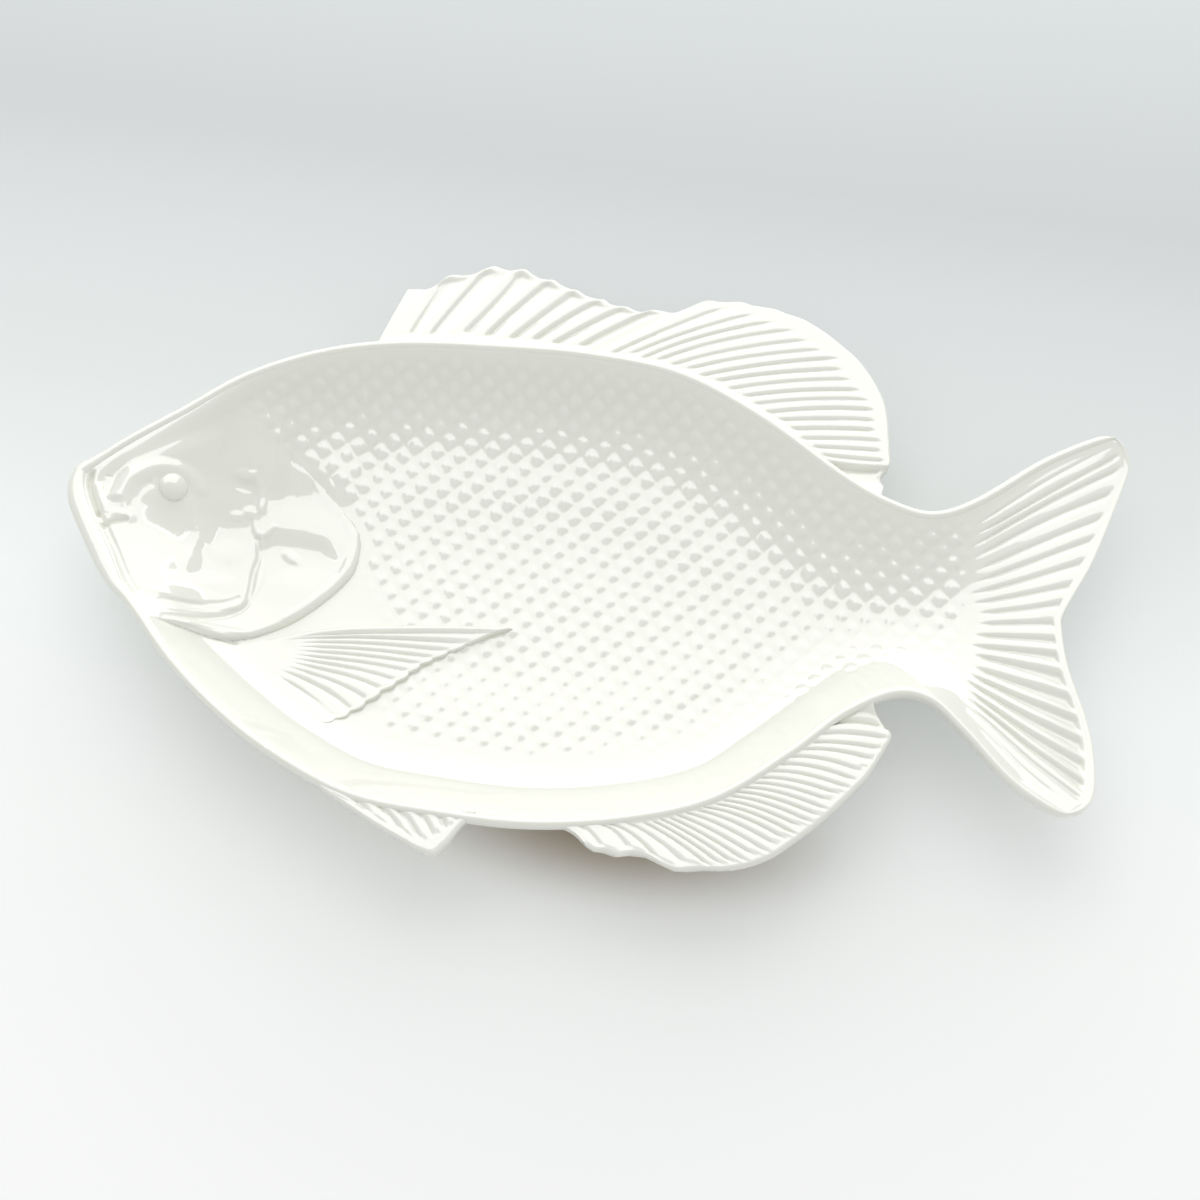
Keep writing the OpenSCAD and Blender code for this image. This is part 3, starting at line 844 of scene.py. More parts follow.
@dataclass
class RayFan:
    """Plan of a fin as curves from its root to its edge, each numbered by the groove that it follows.

    Each guide holds the groove's number, then its place at the root, in the middle and at the edge.
    """

    guides: tuple
    edge: Array
    root: Optional[Array] = None

    @classmethod
    def along(cls, side: Array, guides: tuple, edge: tuple) -> "RayFan":
        """Plan of a fin whose root follows the rim.

        Args:
            side: line of the rim, in the order of the guides.
            guides: guides of the fin.
            edge: points of its free edge.

        Returns:
            The plan, with its root between the first and the last guide.
        """
        first, last = share_near(side, guides[0][1]), share_near(side, guides[-1][1])
        return cls(guides, smooth_line(edge, 8), at_shares(side, first + (last - first) * even(400)))

    def lines(self, s: Array) -> tuple[Array, Array, Array]:
        """Roots, middles and tips of the curves.

        Args:
            s: numbers of the curves, not always whole.

        Returns:
            Points at the roots, in the middle and at the edge.
        """
        g = np.array([(k, *a, *b, *c) for k, a, b, c in self.guides], float)
        tips = [share_near(self.edge, row[5:7]) for row in g]
        tips[0], tips[-1] = 0.0, 1.0
        table = np.c_[g[:, :5], tips]
        if self.root is not None:
            roots = [share_near(self.root, row[1:3]) for row in g]
            roots[0], roots[-1] = 0.0, 1.0
            table[:, 1], table[:, 2] = roots, 0.0
        fine = smooth_line(table, 12)
        cols = [np.interp(s, fine[:, 0], fine[:, k]) for k in range(1, 6)]
        root = np.stack(cols[:2], -1) if self.root is None else at_shares(self.root, cols[0])
        return root, np.stack(cols[2:4], -1), at_shares(self.edge, cols[4])

    def grid(self, s: Array, t: Array) -> Array:
        """Places on the curves.

        Args:
            s: numbers of the curves.
            t: shares from the root to the edge.

        Returns:
            A row of points for each curve.
        """
        root, mid, tip = (v[:, None] for v in self.lines(s))
        t = t[None, :, None]
        return root * (1 - t) * (1 - 2 * t) + mid * 4 * t * (1 - t) + tip * t * (2 * t - 1)


@dataclass
class RayFin:
    """Fin that stands outside the rim, with grooves between its rays.

    Heights and widths are in millimetres, and start and end are shares from the root to the edge.
    """

    name: str
    fan: RayFan
    groove: float
    narrow: float
    lean: float = 0.0
    per_ray: int = 12
    cells: int = 72
    fin_z: float = 38.6
    fall: float = 1.2
    thick: float = 4.6
    start: float = 0.04
    end: float = 0.90
    uneven_ends: float = 0.05
    uneven_depth: float = 0.25
    seed: int = 1
    stride: int = 6
    edge_round: float = 1.3
    fillet_h: float = 1.15
    fillet_run: float = 2.2
    sharpness: float = 1.6
    flare: float = 0.0
    crown: float = 0.25
    web: float = 0.0
    drop: float = 2.0

    def height(self, s: Array, t: Array, length: Array) -> Array:
        """Height of the fin's upper face.

        Args:
            s: numbers of the curves.
            t: shares from the root to the edge.
            length: length of each curve.

        Returns:
            A row of heights for each curve.
        """
        pick = np.random.default_rng(self.seed)
        count = int(round(s[-1])) + 1
        starts = self.start + self.uneven_ends * pick.random(count)
        ends = self.end + self.uneven_ends * (pick.random(count) - 0.5)
        depth = 1.0 + self.uneven_depth * (pick.random(count) - 0.5)
        near = np.clip(np.round(s).astype(int), 0, count - 1)
        gap, last = s - near, s[-1]
        from_side = np.minimum(s, last - s)
        side = np.where(gap > 0, 1.0 + self.lean, 1.0 - self.lean)
        wide = (self.narrow * side)[:, None] * (1 + self.flare * (t[None] - 0.4))
        shape = np.exp(-((np.abs(gap)[:, None] / wide) ** self.sharpness))
        inner = ((near > 0) & (near < count - 1))[:, None]
        a, b = starts[near][:, None], ends[near][:, None]
        reach = ease((t[None] - a) / 0.08) * ease((b - t[None]) / 0.10)
        cut = self.groove * depth[near][:, None] * shape * reach * inner
        sunk = swell(s, last - self.web - 0.3, last - self.web)[:, None] * (self.web > 0)
        crown = self.crown * (1 - np.abs(2 * (np.abs(gap) - 0.5)) ** 2)[:, None] * reach - self.drop * sunk
        crown = crown * swell(from_side, 0.0, 0.5)[:, None]
        fillet = self.fillet_h * np.exp(-((t[None] * length[:, None] / self.fillet_run) ** self.sharpness))
        fillet = fillet * swell(from_side, 0.0, 0.7)[:, None] * swell(length, 2.5, 8.0)[:, None]
        lip = np.clip(1 - (1 - t[None]) * length[:, None] / self.edge_round, 0, 1)
        edge = self.edge_round * (1 - np.sqrt(1 - lip**2))
        return self.fin_z - self.fall * t[None] - cut + crown + fillet - edge

    def build(self) -> bpy.types.Object:
        """Makes the fin.

        Returns:
            The new object.
        """
        last = self.fan.guides[-1][0]
        n = int(round(last * self.per_ray / self.stride)) * self.stride
        s = np.linspace(0, last, n + 1)
        t = 1 - (1 - even(self.cells)) ** 1.15
        plan = self.fan.grid(s, t)
        length = np.linalg.norm(np.diff(plan, axis=1), axis=2).sum(1)
        top = self.height(s, t, length)
        under = np.broadcast_to(self.fin_z - self.fall * t[None] - self.thick, top.shape).copy()
        under += 1.0 * (t[None] > 0.999)
        return MeshKit.slab(self.name, plan, top, under, self.stride)


@dataclass
class TailFan:
    """Tail with its deep rays, from the root of the tail to its end."""

    well: Well
    guides: tuple
    depth: float = 1.4
    per_ray: int = 12
    cells: int = 150
    stride: int = 6

    def relief(self, s: Array, t: Array, run: Array) -> tuple[Array, Array]:
        """Grooves of the tail and the rise of the rays between them.

        Args:
            s: numbers of the curves.
            t: shares from the root to the end.
            run: distance from the rim at each place.

        Returns:
            Depth of the grooves and height of the rays.
        """
        near, last = np.round(s), s[-1]
        gap = np.abs(s - near)[:, None]
        lower = swell(s, 10.0, 15.0)[:, None] * (1 - swell(s, 18.5, 20.0))[:, None]
        wide = 0.16 + 0.20 * lower * t[None] ** 1.5
        shape = np.exp(-((gap / wide) ** (2.0 + 2.0 * lower * t[None])))
        first = 0.10 + 0.10 * np.abs(np.sin(near * 2.4))[:, None]
        reach = swell(t[None], 0.02, 0.30) * ease((0.99 - t[None]) / 0.05) * ease((t[None] - first + 0.1) / 0.2)
        corner = swell(t, 0.80, 0.95)[None] * (1 - swell(np.minimum(s, last - s), 0.4, 2.4))[:, None]
        faint = 1 - 0.65 * swell(s, 19.3, 20.5)[:, None]
        edge_fade = swell(run, 1.5, 8.0) * ((near > 0) & (near < last))[:, None]
        cut = self.depth * (0.75 + 0.45 * lower) * shape * reach * faint * edge_fade
        raised = 0.5 * self.depth * swell(t[None], 0.05, 0.4) * (1 - swell(t[None], 0.7, 0.99))
        return cut * (1 - corner), raised * edge_fade

    def build(self) -> bpy.types.Object:
        """Makes the tail.

        Returns:
            The new object.
        """
        plan = self.well.plan
        root = plan.parting("tail_root", 3)[::-1]
        edge = plan.line("tail_end")[::-1]
        fan = RayFan(self.guides, edge, root)
        last = self.guides[-1][0]
        s = np.linspace(0, last, int(last * self.per_ray) + 1)
        t = even(self.cells)
        grid = fan.grid(s, t)
        high = at_shares(self.well.back, plan.back_cuts[3] + (1 - plan.back_cuts[3]) * t)
        low = at_shares(self.well.belly, plan.belly_cuts[3] + (1 - plan.belly_cuts[3]) * t)
        w = np.clip(s / last, 0, 1)[:, None, None]
        grid = grid + (high - grid[0])[None] * (1 - w) ** 6 + (low - grid[-1])[None] * w**6
        grid[:, 0], _, grid[:, -1] = fan.lines(s)
        flat = grid.reshape(-1, 2)
        run = self.well.from_rim(flat).reshape(grid.shape[:2])
        cut, raised = self.relief(s, t, run)
        top = self.well.top(flat).reshape(run.shape) - cut + raised
        under = self.well.under(flat).reshape(run.shape)
        normals = grid_normals(np.concatenate([grid, top[..., None]], axis=2))
        normals[:, 0] = self.well.normals(grid[:, 0])
        return MeshKit.slab("tail", grid, top, under, self.stride, normals)


@dataclass
class BreastFin:
    """Fin that lies on the belly side of the well, fanning out from behind the gill cover."""

    well: Well
    guides: tuple
    edge: tuple
    height: float = 3.0
    groove: float = 0.75
    notch: float = 1.5
    lip_run: float = 1.2
    per_ray: int = 14
    cells: int = 168
    stride: int = 6

    def rise(self, s: Array, t: Array, reach: Array) -> Array:
        """Height of the fin over the well.

        Args:
            s: numbers of the curves.
            t: shares from the root to the edge.
            reach: length of each curve.

        Returns:
            A row of heights for each curve.
        """
        near, last = np.round(s), s[-1]
        thick = self.height * swell(t[None] * reach[:, None], 0.0, 22.0) * (1 - 0.25 * t[None])
        lead = np.exp(-((s / 1.3) ** 2.0))[:, None]
        thick = thick * (1 + 0.45 * lead * swell(t, 0.1, 0.4)[None]) * swell(last - s, -0.6, 3.4)[:, None]
        cut = self.groove * np.exp(-((np.abs(s - near) / 0.2) ** 1.4))[:, None] * swell(t, 0.2, 0.42)[None]
        cut = cut * ((near > 0) & (near < last))[:, None] * ease((1.02 - t[None]) / 0.10)
        lip = np.clip(1 - (1 - t[None]) * reach[:, None] / self.lip_run, 0, 1)
        flank = np.clip(1 - np.minimum(s, last - s)[:, None] / 0.55, 0, 1)
        roll = (1 - np.sqrt(1 - lip**2)) * 0.45 + (1 - np.sqrt(1 - flank**2)) * 0.8
        return np.maximum(thick - cut * np.minimum(thick, 1.0) - roll * thick, 0.02)

    def build(self) -> bpy.types.Object:
        """Makes the fin.

        Returns:
            The new object.
        """
        fan = RayFan(self.guides, smooth_line(self.edge, 8))
        last = self.guides[-1][0]
        s = np.linspace(0, last, int(last * self.per_ray) + 1)
        t = even(self.cells)
        near = np.round(s)
        tooth = np.exp(-((np.abs(s - near) / 0.25) ** 1.5)) * ((near > 0) & (near < last))
        grid = fan.grid(s, t)
        reach = np.linalg.norm(np.diff(grid, axis=1), axis=2).sum(1)
        scale = 1 - self.notch * tooth * swell(s, 0.5, 3.0) / reach
        root = fan.lines(s)[0][:, None]
        grid = root + (grid - root) * (1 + (scale[:, None] - 1) * swell(t, 0.6, 1.0)[None])[..., None]
        base = self.well.bare(grid.reshape(-1, 2)).reshape(len(s), len(t))
        return MeshKit.slab("breast_fin_looks", grid, base + self.rise(s, t, reach), base - 0.8, self.stride)


class RimLoop:
    """Line of the rim round the well, clockwise from the mouth's corner, with its width and height."""

    WIDTH, JAW_WIDTH, TAIL_WIDTH = 4.0, 8.0, 2.4
    TAPER = 16.0

    def __init__(self, well: Well, spacing: float = 0.9):
        """Works out the loop.

        Args:
            well: the well that it runs round.
            spacing: distance between its points.
        """
        tail = well.plan.line("tail_end")
        rows, starts = [], [0]
        for part in (well.jaw, well.back, tail[::-1], well.belly[::-1]):
            count = int(round(runs(part)[-1] / spacing))
            rows.append(at_shares(part, even(count))[:-1])
            starts.append(starts[-1] + count)
        self.points, self.starts = np.vstack(rows), np.array(starts)
        n = len(self.points)
        ahead = np.roll(self.points, -2, axis=0) - np.roll(self.points, 2, axis=0)
        ahead = ahead / np.linalg.norm(ahead, axis=1)[:, None]
        self.out = np.stack([-ahead[:, 1], ahead[:, 0]], axis=-1)
        idx, taper = np.arange(n), self.TAPER
        in_tail = ease((np.minimum(idx - starts[2], starts[3] - idx) + taper) / (2 * taper))
        inside = -np.minimum(idx, starts[1] - idx)
        beyond = np.minimum(idx - starts[1], n - idx)
        self.in_jaw = ease((taper - np.where(idx < starts[1], inside, beyond)) / (2 * taper))
        width = self.WIDTH + (self.TAIL_WIDTH - self.WIDTH) * in_tail
        width = width * (1 - self.in_jaw) + self.JAW_WIDTH * self.in_jaw
        outer = self.points + self.out * width[:, None]
        soft = outer
        for _ in range(30):
            soft = (np.roll(soft, 1, axis=0) + soft + np.roll(soft, -1, axis=0)) / 3
        corner = sum(np.exp(-(((idx - starts[k]) * spacing / 9.0) ** 2)) for k in (2, 3))[:, None]
        across = outer * (1 - corner) + soft * corner - self.points
        self.width = np.linalg.norm(across, axis=1)
        self.out = across / self.width[:, None]
        self.bead = 1 - 0.85 * in_tail
        self.base = well.bare(self.points)
        self.under = well.under(self.points)

    def outer(self, first: int, last: int, tuck: float) -> Array:
        """Outer line of some edges of the loop.

        Args:
            first: edge at which it starts.
            last: edge at which it stops.
            tuck: how far inside the outer face it lies.

        Returns:
            The points of the line.
        """
        pick = np.arange(self.starts[first], self.starts[last] + 1) % len(self.points)
        return (self.points + self.out * (self.width - tuck)[:, None])[pick]


@dataclass
class Rim:
    """Rounded bead along part of the loop that runs round the well."""

    loop: RimLoop
    name: str
    first: int
    last: int
    bead: float = 1.2
    thick: float = 5.0
    lip: float = 0.42
    inner_steps: int = 6
    outer_steps: int = 8

    def build(self) -> bpy.types.Object:
        """Makes this stretch of the rim.

        Returns:
            The new object.
        """
        loop = self.loop
        pick = np.arange(loop.starts[self.first], loop.starts[self.last] + 1) % len(loop.points)
        outward = np.sin(np.linspace(0, math.pi / 2, self.outer_steps + 1)[1:])
        q = np.concatenate([np.linspace(0, 0.5, self.inner_steps + 1), 0.5 + 0.5 * outward])
        crest = np.where(q < 0.5, 1 - (1 - q / 0.5) ** 2, 1 - 0.9 * ((q - 0.5) / 0.5) ** 3.2)
        p, o, w, z, low = (v[pick] for v in (loop.points, loop.out, loop.width, loop.base, loop.under))
        bead = self.bead * (loop.bead[pick] + self.lip * loop.in_jaw[pick])
        rows = [np.c_[p + o * (w * s)[:, None], z + bead * c] for s, c in zip(q, crest)]
        drop = self.bead - self.thick
        for s, d in ((1.0, -0.6), (1.0, 0.6 * drop), (0.985, drop + 0.5), (0.93, drop + 0.12), (0.82, drop)):
            rows.append(np.c_[p + o * (w * s)[:, None], z + d])
        rows.append(np.c_[p, low])
        grid = np.stack(rows, axis=1)
        m, k = grid.shape[0], grid.shape[1]
        ids = np.arange(m * k).reshape(m, k)
        nxt = np.roll(ids, -1, axis=1)
        quads = np.stack([ids[:-1], ids[1:], nxt[1:], nxt[:-1]], axis=-1).reshape(-1, 4)
        caps = []
        for row, flip in ((ids[0], False), (ids[-1], True)):
            fan = np.array([(row[0], row[i], row[i + 1]) for i in range(1, k - 1)])
            caps.append(fan[:, ::-1] if flip else fan)
        made = MeshKit.closed(self.name, grid.reshape(-1, 3), [quads, np.vstack(caps)])
        MeshKit.only(made)
        bpy.ops.object.mode_set(mode="EDIT")
        bpy.ops.mesh.select_all(action="SELECT")
        bpy.ops.mesh.normals_make_consistent(inside=False)
        bpy.ops.object.mode_set(mode="OBJECT")
        MeshKit.smooth_evenly(made, 55.0)
        return made


@dataclass
class UpperLip:
    """Ridge inside the mouth, from the snout to the corner of the mouth."""

    well: Well
    width: float = 4.8
    height: float = 1.2
    inset: float = 3.4
    start: float = 0.54
    share: float = 0.44
    along: int = 120
    across: int = 36
    stride: int = 6

    def build(self) -> bpy.types.Object:
        """Makes the lip.

        Returns:
            The new object.
        """
        t, q = even(self.along), even(self.across)
        line = at_shares(self.well.jaw, self.start + self.share * t)
        ahead = np.gradient(line, axis=0)
        ahead = ahead / np.linalg.norm(ahead, axis=1)[:, None]
        inward = np.stack([ahead[:, 1], -ahead[:, 0]], axis=-1)
        grid = line[:, None] + inward[:, None] * (self.inset + self.width * q)[None, :, None]
        base = self.well.top(grid.reshape(-1, 2)).reshape(grid.shape[:2])
        swelling = ease(t / 0.35)[:, None] * ease((1 - t) / 0.3)[:, None]
        top = base - 0.3 + self.height * np.sin(math.pi * q[None]) * swelling
        return MeshKit.slab("upper_lip_looks", grid, top, base - 1.5, self.stride)


@dataclass
class Eye:
    """Domed eye on the cheek."""

    well: Well
    x: float = -186.9
    y: float = 9.0
    radius: float = 6.4
    height: float = 3.3
    buried: float = 0.4
    lift: float = 0.3
    segments: int = 96

    def build(self) -> bpy.types.Object:
        """Makes the eye from a sphere that is flattened, cut and set square to the cheek.

        Returns:
            The new object.
        """
        spot = np.array([[self.x, self.y]])
        z = float(self.well.top(spot)[0])
        normal = Vector(self.well.normals(spot, 6.0)[0])
        bpy.ops.object.select_all(action="DESELECT")
        bpy.ops.mesh.primitive_uv_sphere_add(
            segments=self.segments, ring_count=self.segments // 2, radius=self.radius * MM
        )
        made = bpy.context.object
        made.name = "eye_looks"
        bpy.ops.object.mode_set(mode="EDIT")
        bpy.ops.mesh.select_all(action="SELECT")
        bpy.ops.transform.resize(value=(1.0, 1.0, self.height / self.radius))
        bpy.ops.mesh.bisect(
            plane_co=(0, 0, -self.buried * self.height * MM), plane_no=(0, 0, 1), use_fill=True, clear_inner=True
        )
        bpy.ops.object.mode_set(mode="OBJECT")
        turn = Vector((0, 0, 1)).rotation_difference(normal).to_matrix().to_4x4()
        made.data.transform(Matrix.Translation(Vector((self.x, self.y, z + self.lift)) * MM) @ turn)
        MeshKit.smooth_evenly(made, 60.0)
        return made


@dataclass
class FootRing:
    """Oval ring that the dish stands on."""

    mid: tuple = (-36.8, -13.25)
    half: tuple = (103.7, 55.16)
    height: float = 5.0
    width: float = 6.0
    overlap: float = 0.4
    rounding: float = 1.2
    sides: int = 144

    def build(self) -> bpy.types.Object:
        """Makes the ring from a disc that is inset, opened, raised and rounded.

        Returns:
            The new object.
        """
        bpy.ops.object.select_all(action="DESELECT")
        bpy.ops.mesh.primitive_circle_add(vertices=self.sides, radius=1.0, fill_type="NGON")
        made = bpy.context.object
        made.name = "foot_ring_looks"
        for v in made.data.vertices:
            v.co = (
                (self.mid[0] + self.half[0] * v.co.x) * MM, (self.mid[1] + self.half[1] * v.co.y) * MM, 0.0
            )
        bpy.ops.object.mode_set(mode="EDIT")
        bpy.ops.mesh.select_all(action="SELECT")
        bpy.ops.mesh.inset(thickness=self.width * MM, depth=0)
        bpy.ops.mesh.delete(type="FACE")
        bpy.ops.mesh.select_all(action="SELECT")
        bpy.ops.mesh.extrude_region_move(
            TRANSFORM_OT_translate={"value": (0, 0, (self.height + self.overlap) * MM)}
        )
        bpy.ops.mesh.select_all(action="SELECT")
        bpy.ops.mesh.normals_make_consistent(inside=False)
        bpy.ops.object.mode_set(mode="OBJECT")
        bevel = made.modifiers.new("rounded", "BEVEL")
        bevel.width, bevel.segments, bevel.limit_method = self.rounding * MM, 3, "ANGLE"
        MeshKit.only(made)
        bpy.ops.object.modifier_apply(modifier=bevel.name)
        MeshKit.smooth_evenly(made, 40.0)
        return made


class NodeBench:
    """Adds nodes to one shader tree and joins them."""

    def __init__(self, tree: bpy.types.NodeTree):
        """Takes the tree.

        Args:
            tree: tree that the nodes go into.
        """
        self.tree = tree

    def feed(self, target: bpy.types.Node, feeds: dict) -> None:
        """Links or sets the inputs of a node.

        Args:
            target: the node.
            feeds: by an input's name or number, the socket to link or the value to set.
        """
        for key, value in feeds.items():
            if isinstance(value, bpy.types.NodeSocket):
                self.tree.links.new(value, target.inputs[key])
            else:
                target.inputs[key].default_value = value

    def node(self, kind: str, feeds: dict, **options: Any) -> bpy.types.Node:
        """Adds a node.

        Args:
            kind: its type, without the prefix that all shader nodes have.
            feeds: by an input's name or number, the socket to link or the value to set.
            options: settings of the node itself.

        Returns:
            The new node.
        """
        made = self.tree.nodes.new("ShaderNode" + kind)
        for name, value in options.items():
            setattr(made, name, value)
        self.feed(made, feeds)
        return made

    def math(self, operation: str, *values: Any, clamp: bool = False) -> bpy.types.NodeSocket:
        """Adds a node that works something out.

        Args:
            operation: what it works out.
            values: sockets or numbers, in the order of its inputs.
            clamp: whether the result stays between 0 and 1.

        Returns:
            Its output.
        """
        made = self.node("Math", dict(enumerate(values)), operation=operation, use_clamp=clamp)
        return made.outputs["Value"]


class GlazePooling:
    """Node group that tells where glaze has pooled and gives the glaze its faint unevenness."""

    NAME = "glaze_pooling"
    SOCKETS = (
        ("Thin", "INPUT", "NodeSocketColor"), ("Pooled", "INPUT", "NodeSocketColor"),
        ("Pooling", "INPUT", "NodeSocketFloat"), ("Smoothness", "INPUT", "NodeSocketFloat"),
        ("Color", "OUTPUT", "NodeSocketColor"), ("Roughness", "OUTPUT", "NodeSocketFloat"),
        ("Height", "OUTPUT", "NodeSocketFloat"),
    )

    @classmethod
    def group(cls) -> bpy.types.NodeTree:
        """Makes the group, or finds it where it is made already.

        Returns:
            The node group.
        """
        found = bpy.data.node_groups.get(cls.NAME)
        if found:
            return found
        tree = bpy.data.node_groups.new(cls.NAME, "ShaderNodeTree")
        for name, side, kind in cls.SOCKETS:
            tree.interface.new_socket(name, in_out=side, socket_type=kind)
        bench = NodeBench(tree)
        entry = tree.nodes.new("NodeGroupInput").outputs
        place = bench.node("TexCoord", {}).outputs["Object"]
        hollow = bench.node("Attribute", {}, attribute_name=HOLLOW).outputs["Fac"]
        cloud = bench.node("TexNoise", {"Vector": place, "Scale": 28.0, "Detail": 3.0}).outputs["Fac"]
        peel = bench.node("TexNoise", {"Vector": place, "Scale": 160.0, "Detail": 2.0}).outputs["Fac"]
        spread = bench.node("MapRange", {"Value": hollow, "From Min": -0.6, "From Max": 0.9}).outputs["Result"]
        part = bench.math("MULTIPLY", bench.math("MULTIPLY_ADD", cloud, 0.35, spread), entry["Pooling"], clamp=True)
        tint = bench.node("Mix", {"Factor": part, "A": entry["Thin"], "B": entry["Pooled"]}, data_type="RGBA")
        rough = bench.math("MULTIPLY_ADD", cloud, 0.05, entry["Smoothness"])
        leave = tree.nodes.new("NodeGroupOutput")
        bench.feed(leave, {"Color": tint.outputs["Result"], "Roughness": rough, "Height": peel})
        return tree


@dataclass(frozen=True)
class Finish:
    """Look of a fired surface."""

    name: str
    thin: tuple
    pooled: tuple
    pooling: float
    smoothness: float
    bump: float
    bump_depth: float
    gloss: float
    ior: float = 1.68

    def material(self) -> bpy.types.Material:
        """Makes the material.

        Returns:
            The new material.
        """
        made = bpy.data.materials.new(self.name)
        made.use_nodes = True
        bench = NodeBench(made.node_tree)
        fired = bench.node("Group", {}, node_tree=GlazePooling.group())
        bench.feed(fired, {
            "Thin": (*self.thin, 1.0), "Pooled": (*self.pooled, 1.0),
            "Pooling": self.pooling, "Smoothness": self.smoothness,
        })
        bump = bench.node("Bump", {
            "Strength": self.bump, "Distance": self.bump_depth, "Height": fired.outputs["Height"],
        })
        bench.feed(made.node_tree.nodes["Principled BSDF"], {
            "Base Color": fired.outputs["Color"], "Roughness": fired.outputs["Roughness"],
            "Normal": bump.outputs["Normal"], "IOR": self.ior, "Specular IOR Level": self.gloss,
        })
        return made


FINISHES = {
    Surface.GLAZED: Finish(
        "ivory_glaze", (0.86, 0.857, 0.80), (0.79, 0.78, 0.705), 0.5, 0.02, 0.12, 0.0002, 0.5
    ),
    Surface.BARE: Finish(
        "bare_clay_foot", (0.78, 0.72, 0.62), (0.66, 0.60, 0.50), 0.8, 0.75, 0.6, 0.0004, 0.25, 1.5
    ),
}


class PaperShade:
    """Node group for the pale paper, whose colour holds painted shade: it greys towards the back as painted fall-off
    of the light, and a warm dark oval below the dish's near side is a painted shadow.
    """

    NAME = "paper_shade"
    HALF = 0.4
    # Painted shadow: a warm dark oval on the floor, in metres, multiplied into the paper's colour below the dish's
    # near side.
    PAINTED_SHADOW_MID = (0.028, -0.106)
    PAINTED_SHADOW_HALF = (0.098, 0.037)
    PAINTED_SHADOW_TINT = (0.42, 0.35, 0.27)
    # Painted shade: the paper's colour greys towards the back for the fall-off of the light, and the stop at 0.33, in
    # front of the dish, is lowered to deepen its shadow.
    PAINTED_SHADE_STOPS = (
        (0.0, (0.95, 0.945, 0.95)), (0.33, (0.92, 0.92, 0.92)), (0.47, (0.865, 0.885, 0.89)),
        (0.60, (0.73, 0.755, 0.755)), (0.72, (0.655, 0.67, 0.68)), (0.80, (0.58, 0.595, 0.605)),
        (1.0, (0.63, 0.65, 0.665)),
    )

    @classmethod
    def group(cls) -> bpy.types.NodeTree:
        """Makes the group.

        Returns:
            The node group.
        """
        tree = bpy.data.node_groups.new(cls.NAME, "ShaderNodeTree")
        tree.interface.new_socket("Color", in_out="OUTPUT", socket_type="NodeSocketColor")
        bench = NodeBench(tree)
        place = bench.node("TexCoord", {}).outputs["Object"]
        parts = bench.node("SeparateXYZ", {"Vector": place}).outputs
        along = bench.node("MapRange", {"Value": parts["Y"], "From Min": -cls.HALF, "From Max": cls.HALF})
        ramp = bench.node("ValToRGB", {"Fac": along.outputs["Result"]})
        for k, (spot, shade) in enumerate(cls.PAINTED_SHADE_STOPS):
            stop = ramp.color_ramp.elements[k] if k < 2 else ramp.color_ramp.elements.new(spot)
            stop.position, stop.color = spot, (*shade, 1.0)
        # Painted shadow: the paper darkens to the warm tint towards the middle of the oval.
        shares = {
            axis: bench.math("MULTIPLY_ADD", parts[axis], 1 / half, -mid / half)
            for axis, mid, half in zip("XY", cls.PAINTED_SHADOW_MID, cls.PAINTED_SHADOW_HALF)
        }
        oval = bench.node("CombineXYZ", shares).outputs["Vector"]
        away = bench.node("VectorMath", {0: oval}, operation="LENGTH").outputs["Value"]
        near = bench.node(
            "MapRange", {"Value": away, "From Min": 1.1, "From Max": 0.1}, interpolation_type="SMOOTHSTEP"
        )
        with_painted_shadow = bench.node(
            "Mix", {"Factor": near.outputs["Result"], "A": ramp.outputs["Color"], "B": (*cls.PAINTED_SHADOW_TINT, 1.0)},
            data_type="RGBA", blend_type="MULTIPLY",
        )
        bench.feed(tree.nodes.new("NodeGroupOutput"), {"Color": with_painted_shadow.outputs["Result"]})
        return tree


@dataclass(frozen=True)
class Paper:
    """Matt paper that is seen from above only, so that the foot can be looked at from below."""

    roughness: float = 0.9
    gloss: float = 0.1
    glow: float = 0.08

    def material(self) -> bpy.types.Material:
        """Makes the material, whose faint glow reaches the camera and the glaze's reflections only.

        Returns:
            The new material.
        """
        made = bpy.data.materials.new("floor_paper")
        made.use_nodes = True
        bench = NodeBench(made.node_tree)
        # The paper's colour, with its painted shade and painted shadow.
        shade = bench.node("Group", {}, node_tree=PaperShade.group()).outputs["Color"]
        path = bench.node("LightPath", {}).outputs
        seen = bench.math("MAXIMUM", path["Is Camera Ray"], path["Is Glossy Ray"])
        seen = bench.math("MAXIMUM", seen, path["Is Transmission Ray"])
        back = bench.node("NewGeometry", {}).outputs["Backfacing"]
        bench.feed(made.node_tree.nodes["Principled BSDF"], {
            "Base Color": shade, "Roughness": self.roughness, "Specular IOR Level": self.gloss,
            "Emission Color": shade, "Emission Strength": bench.math("MULTIPLY", seen, self.glow),
            "Alpha": bench.math("SUBTRACT", 1.0, back),
        })
        return made


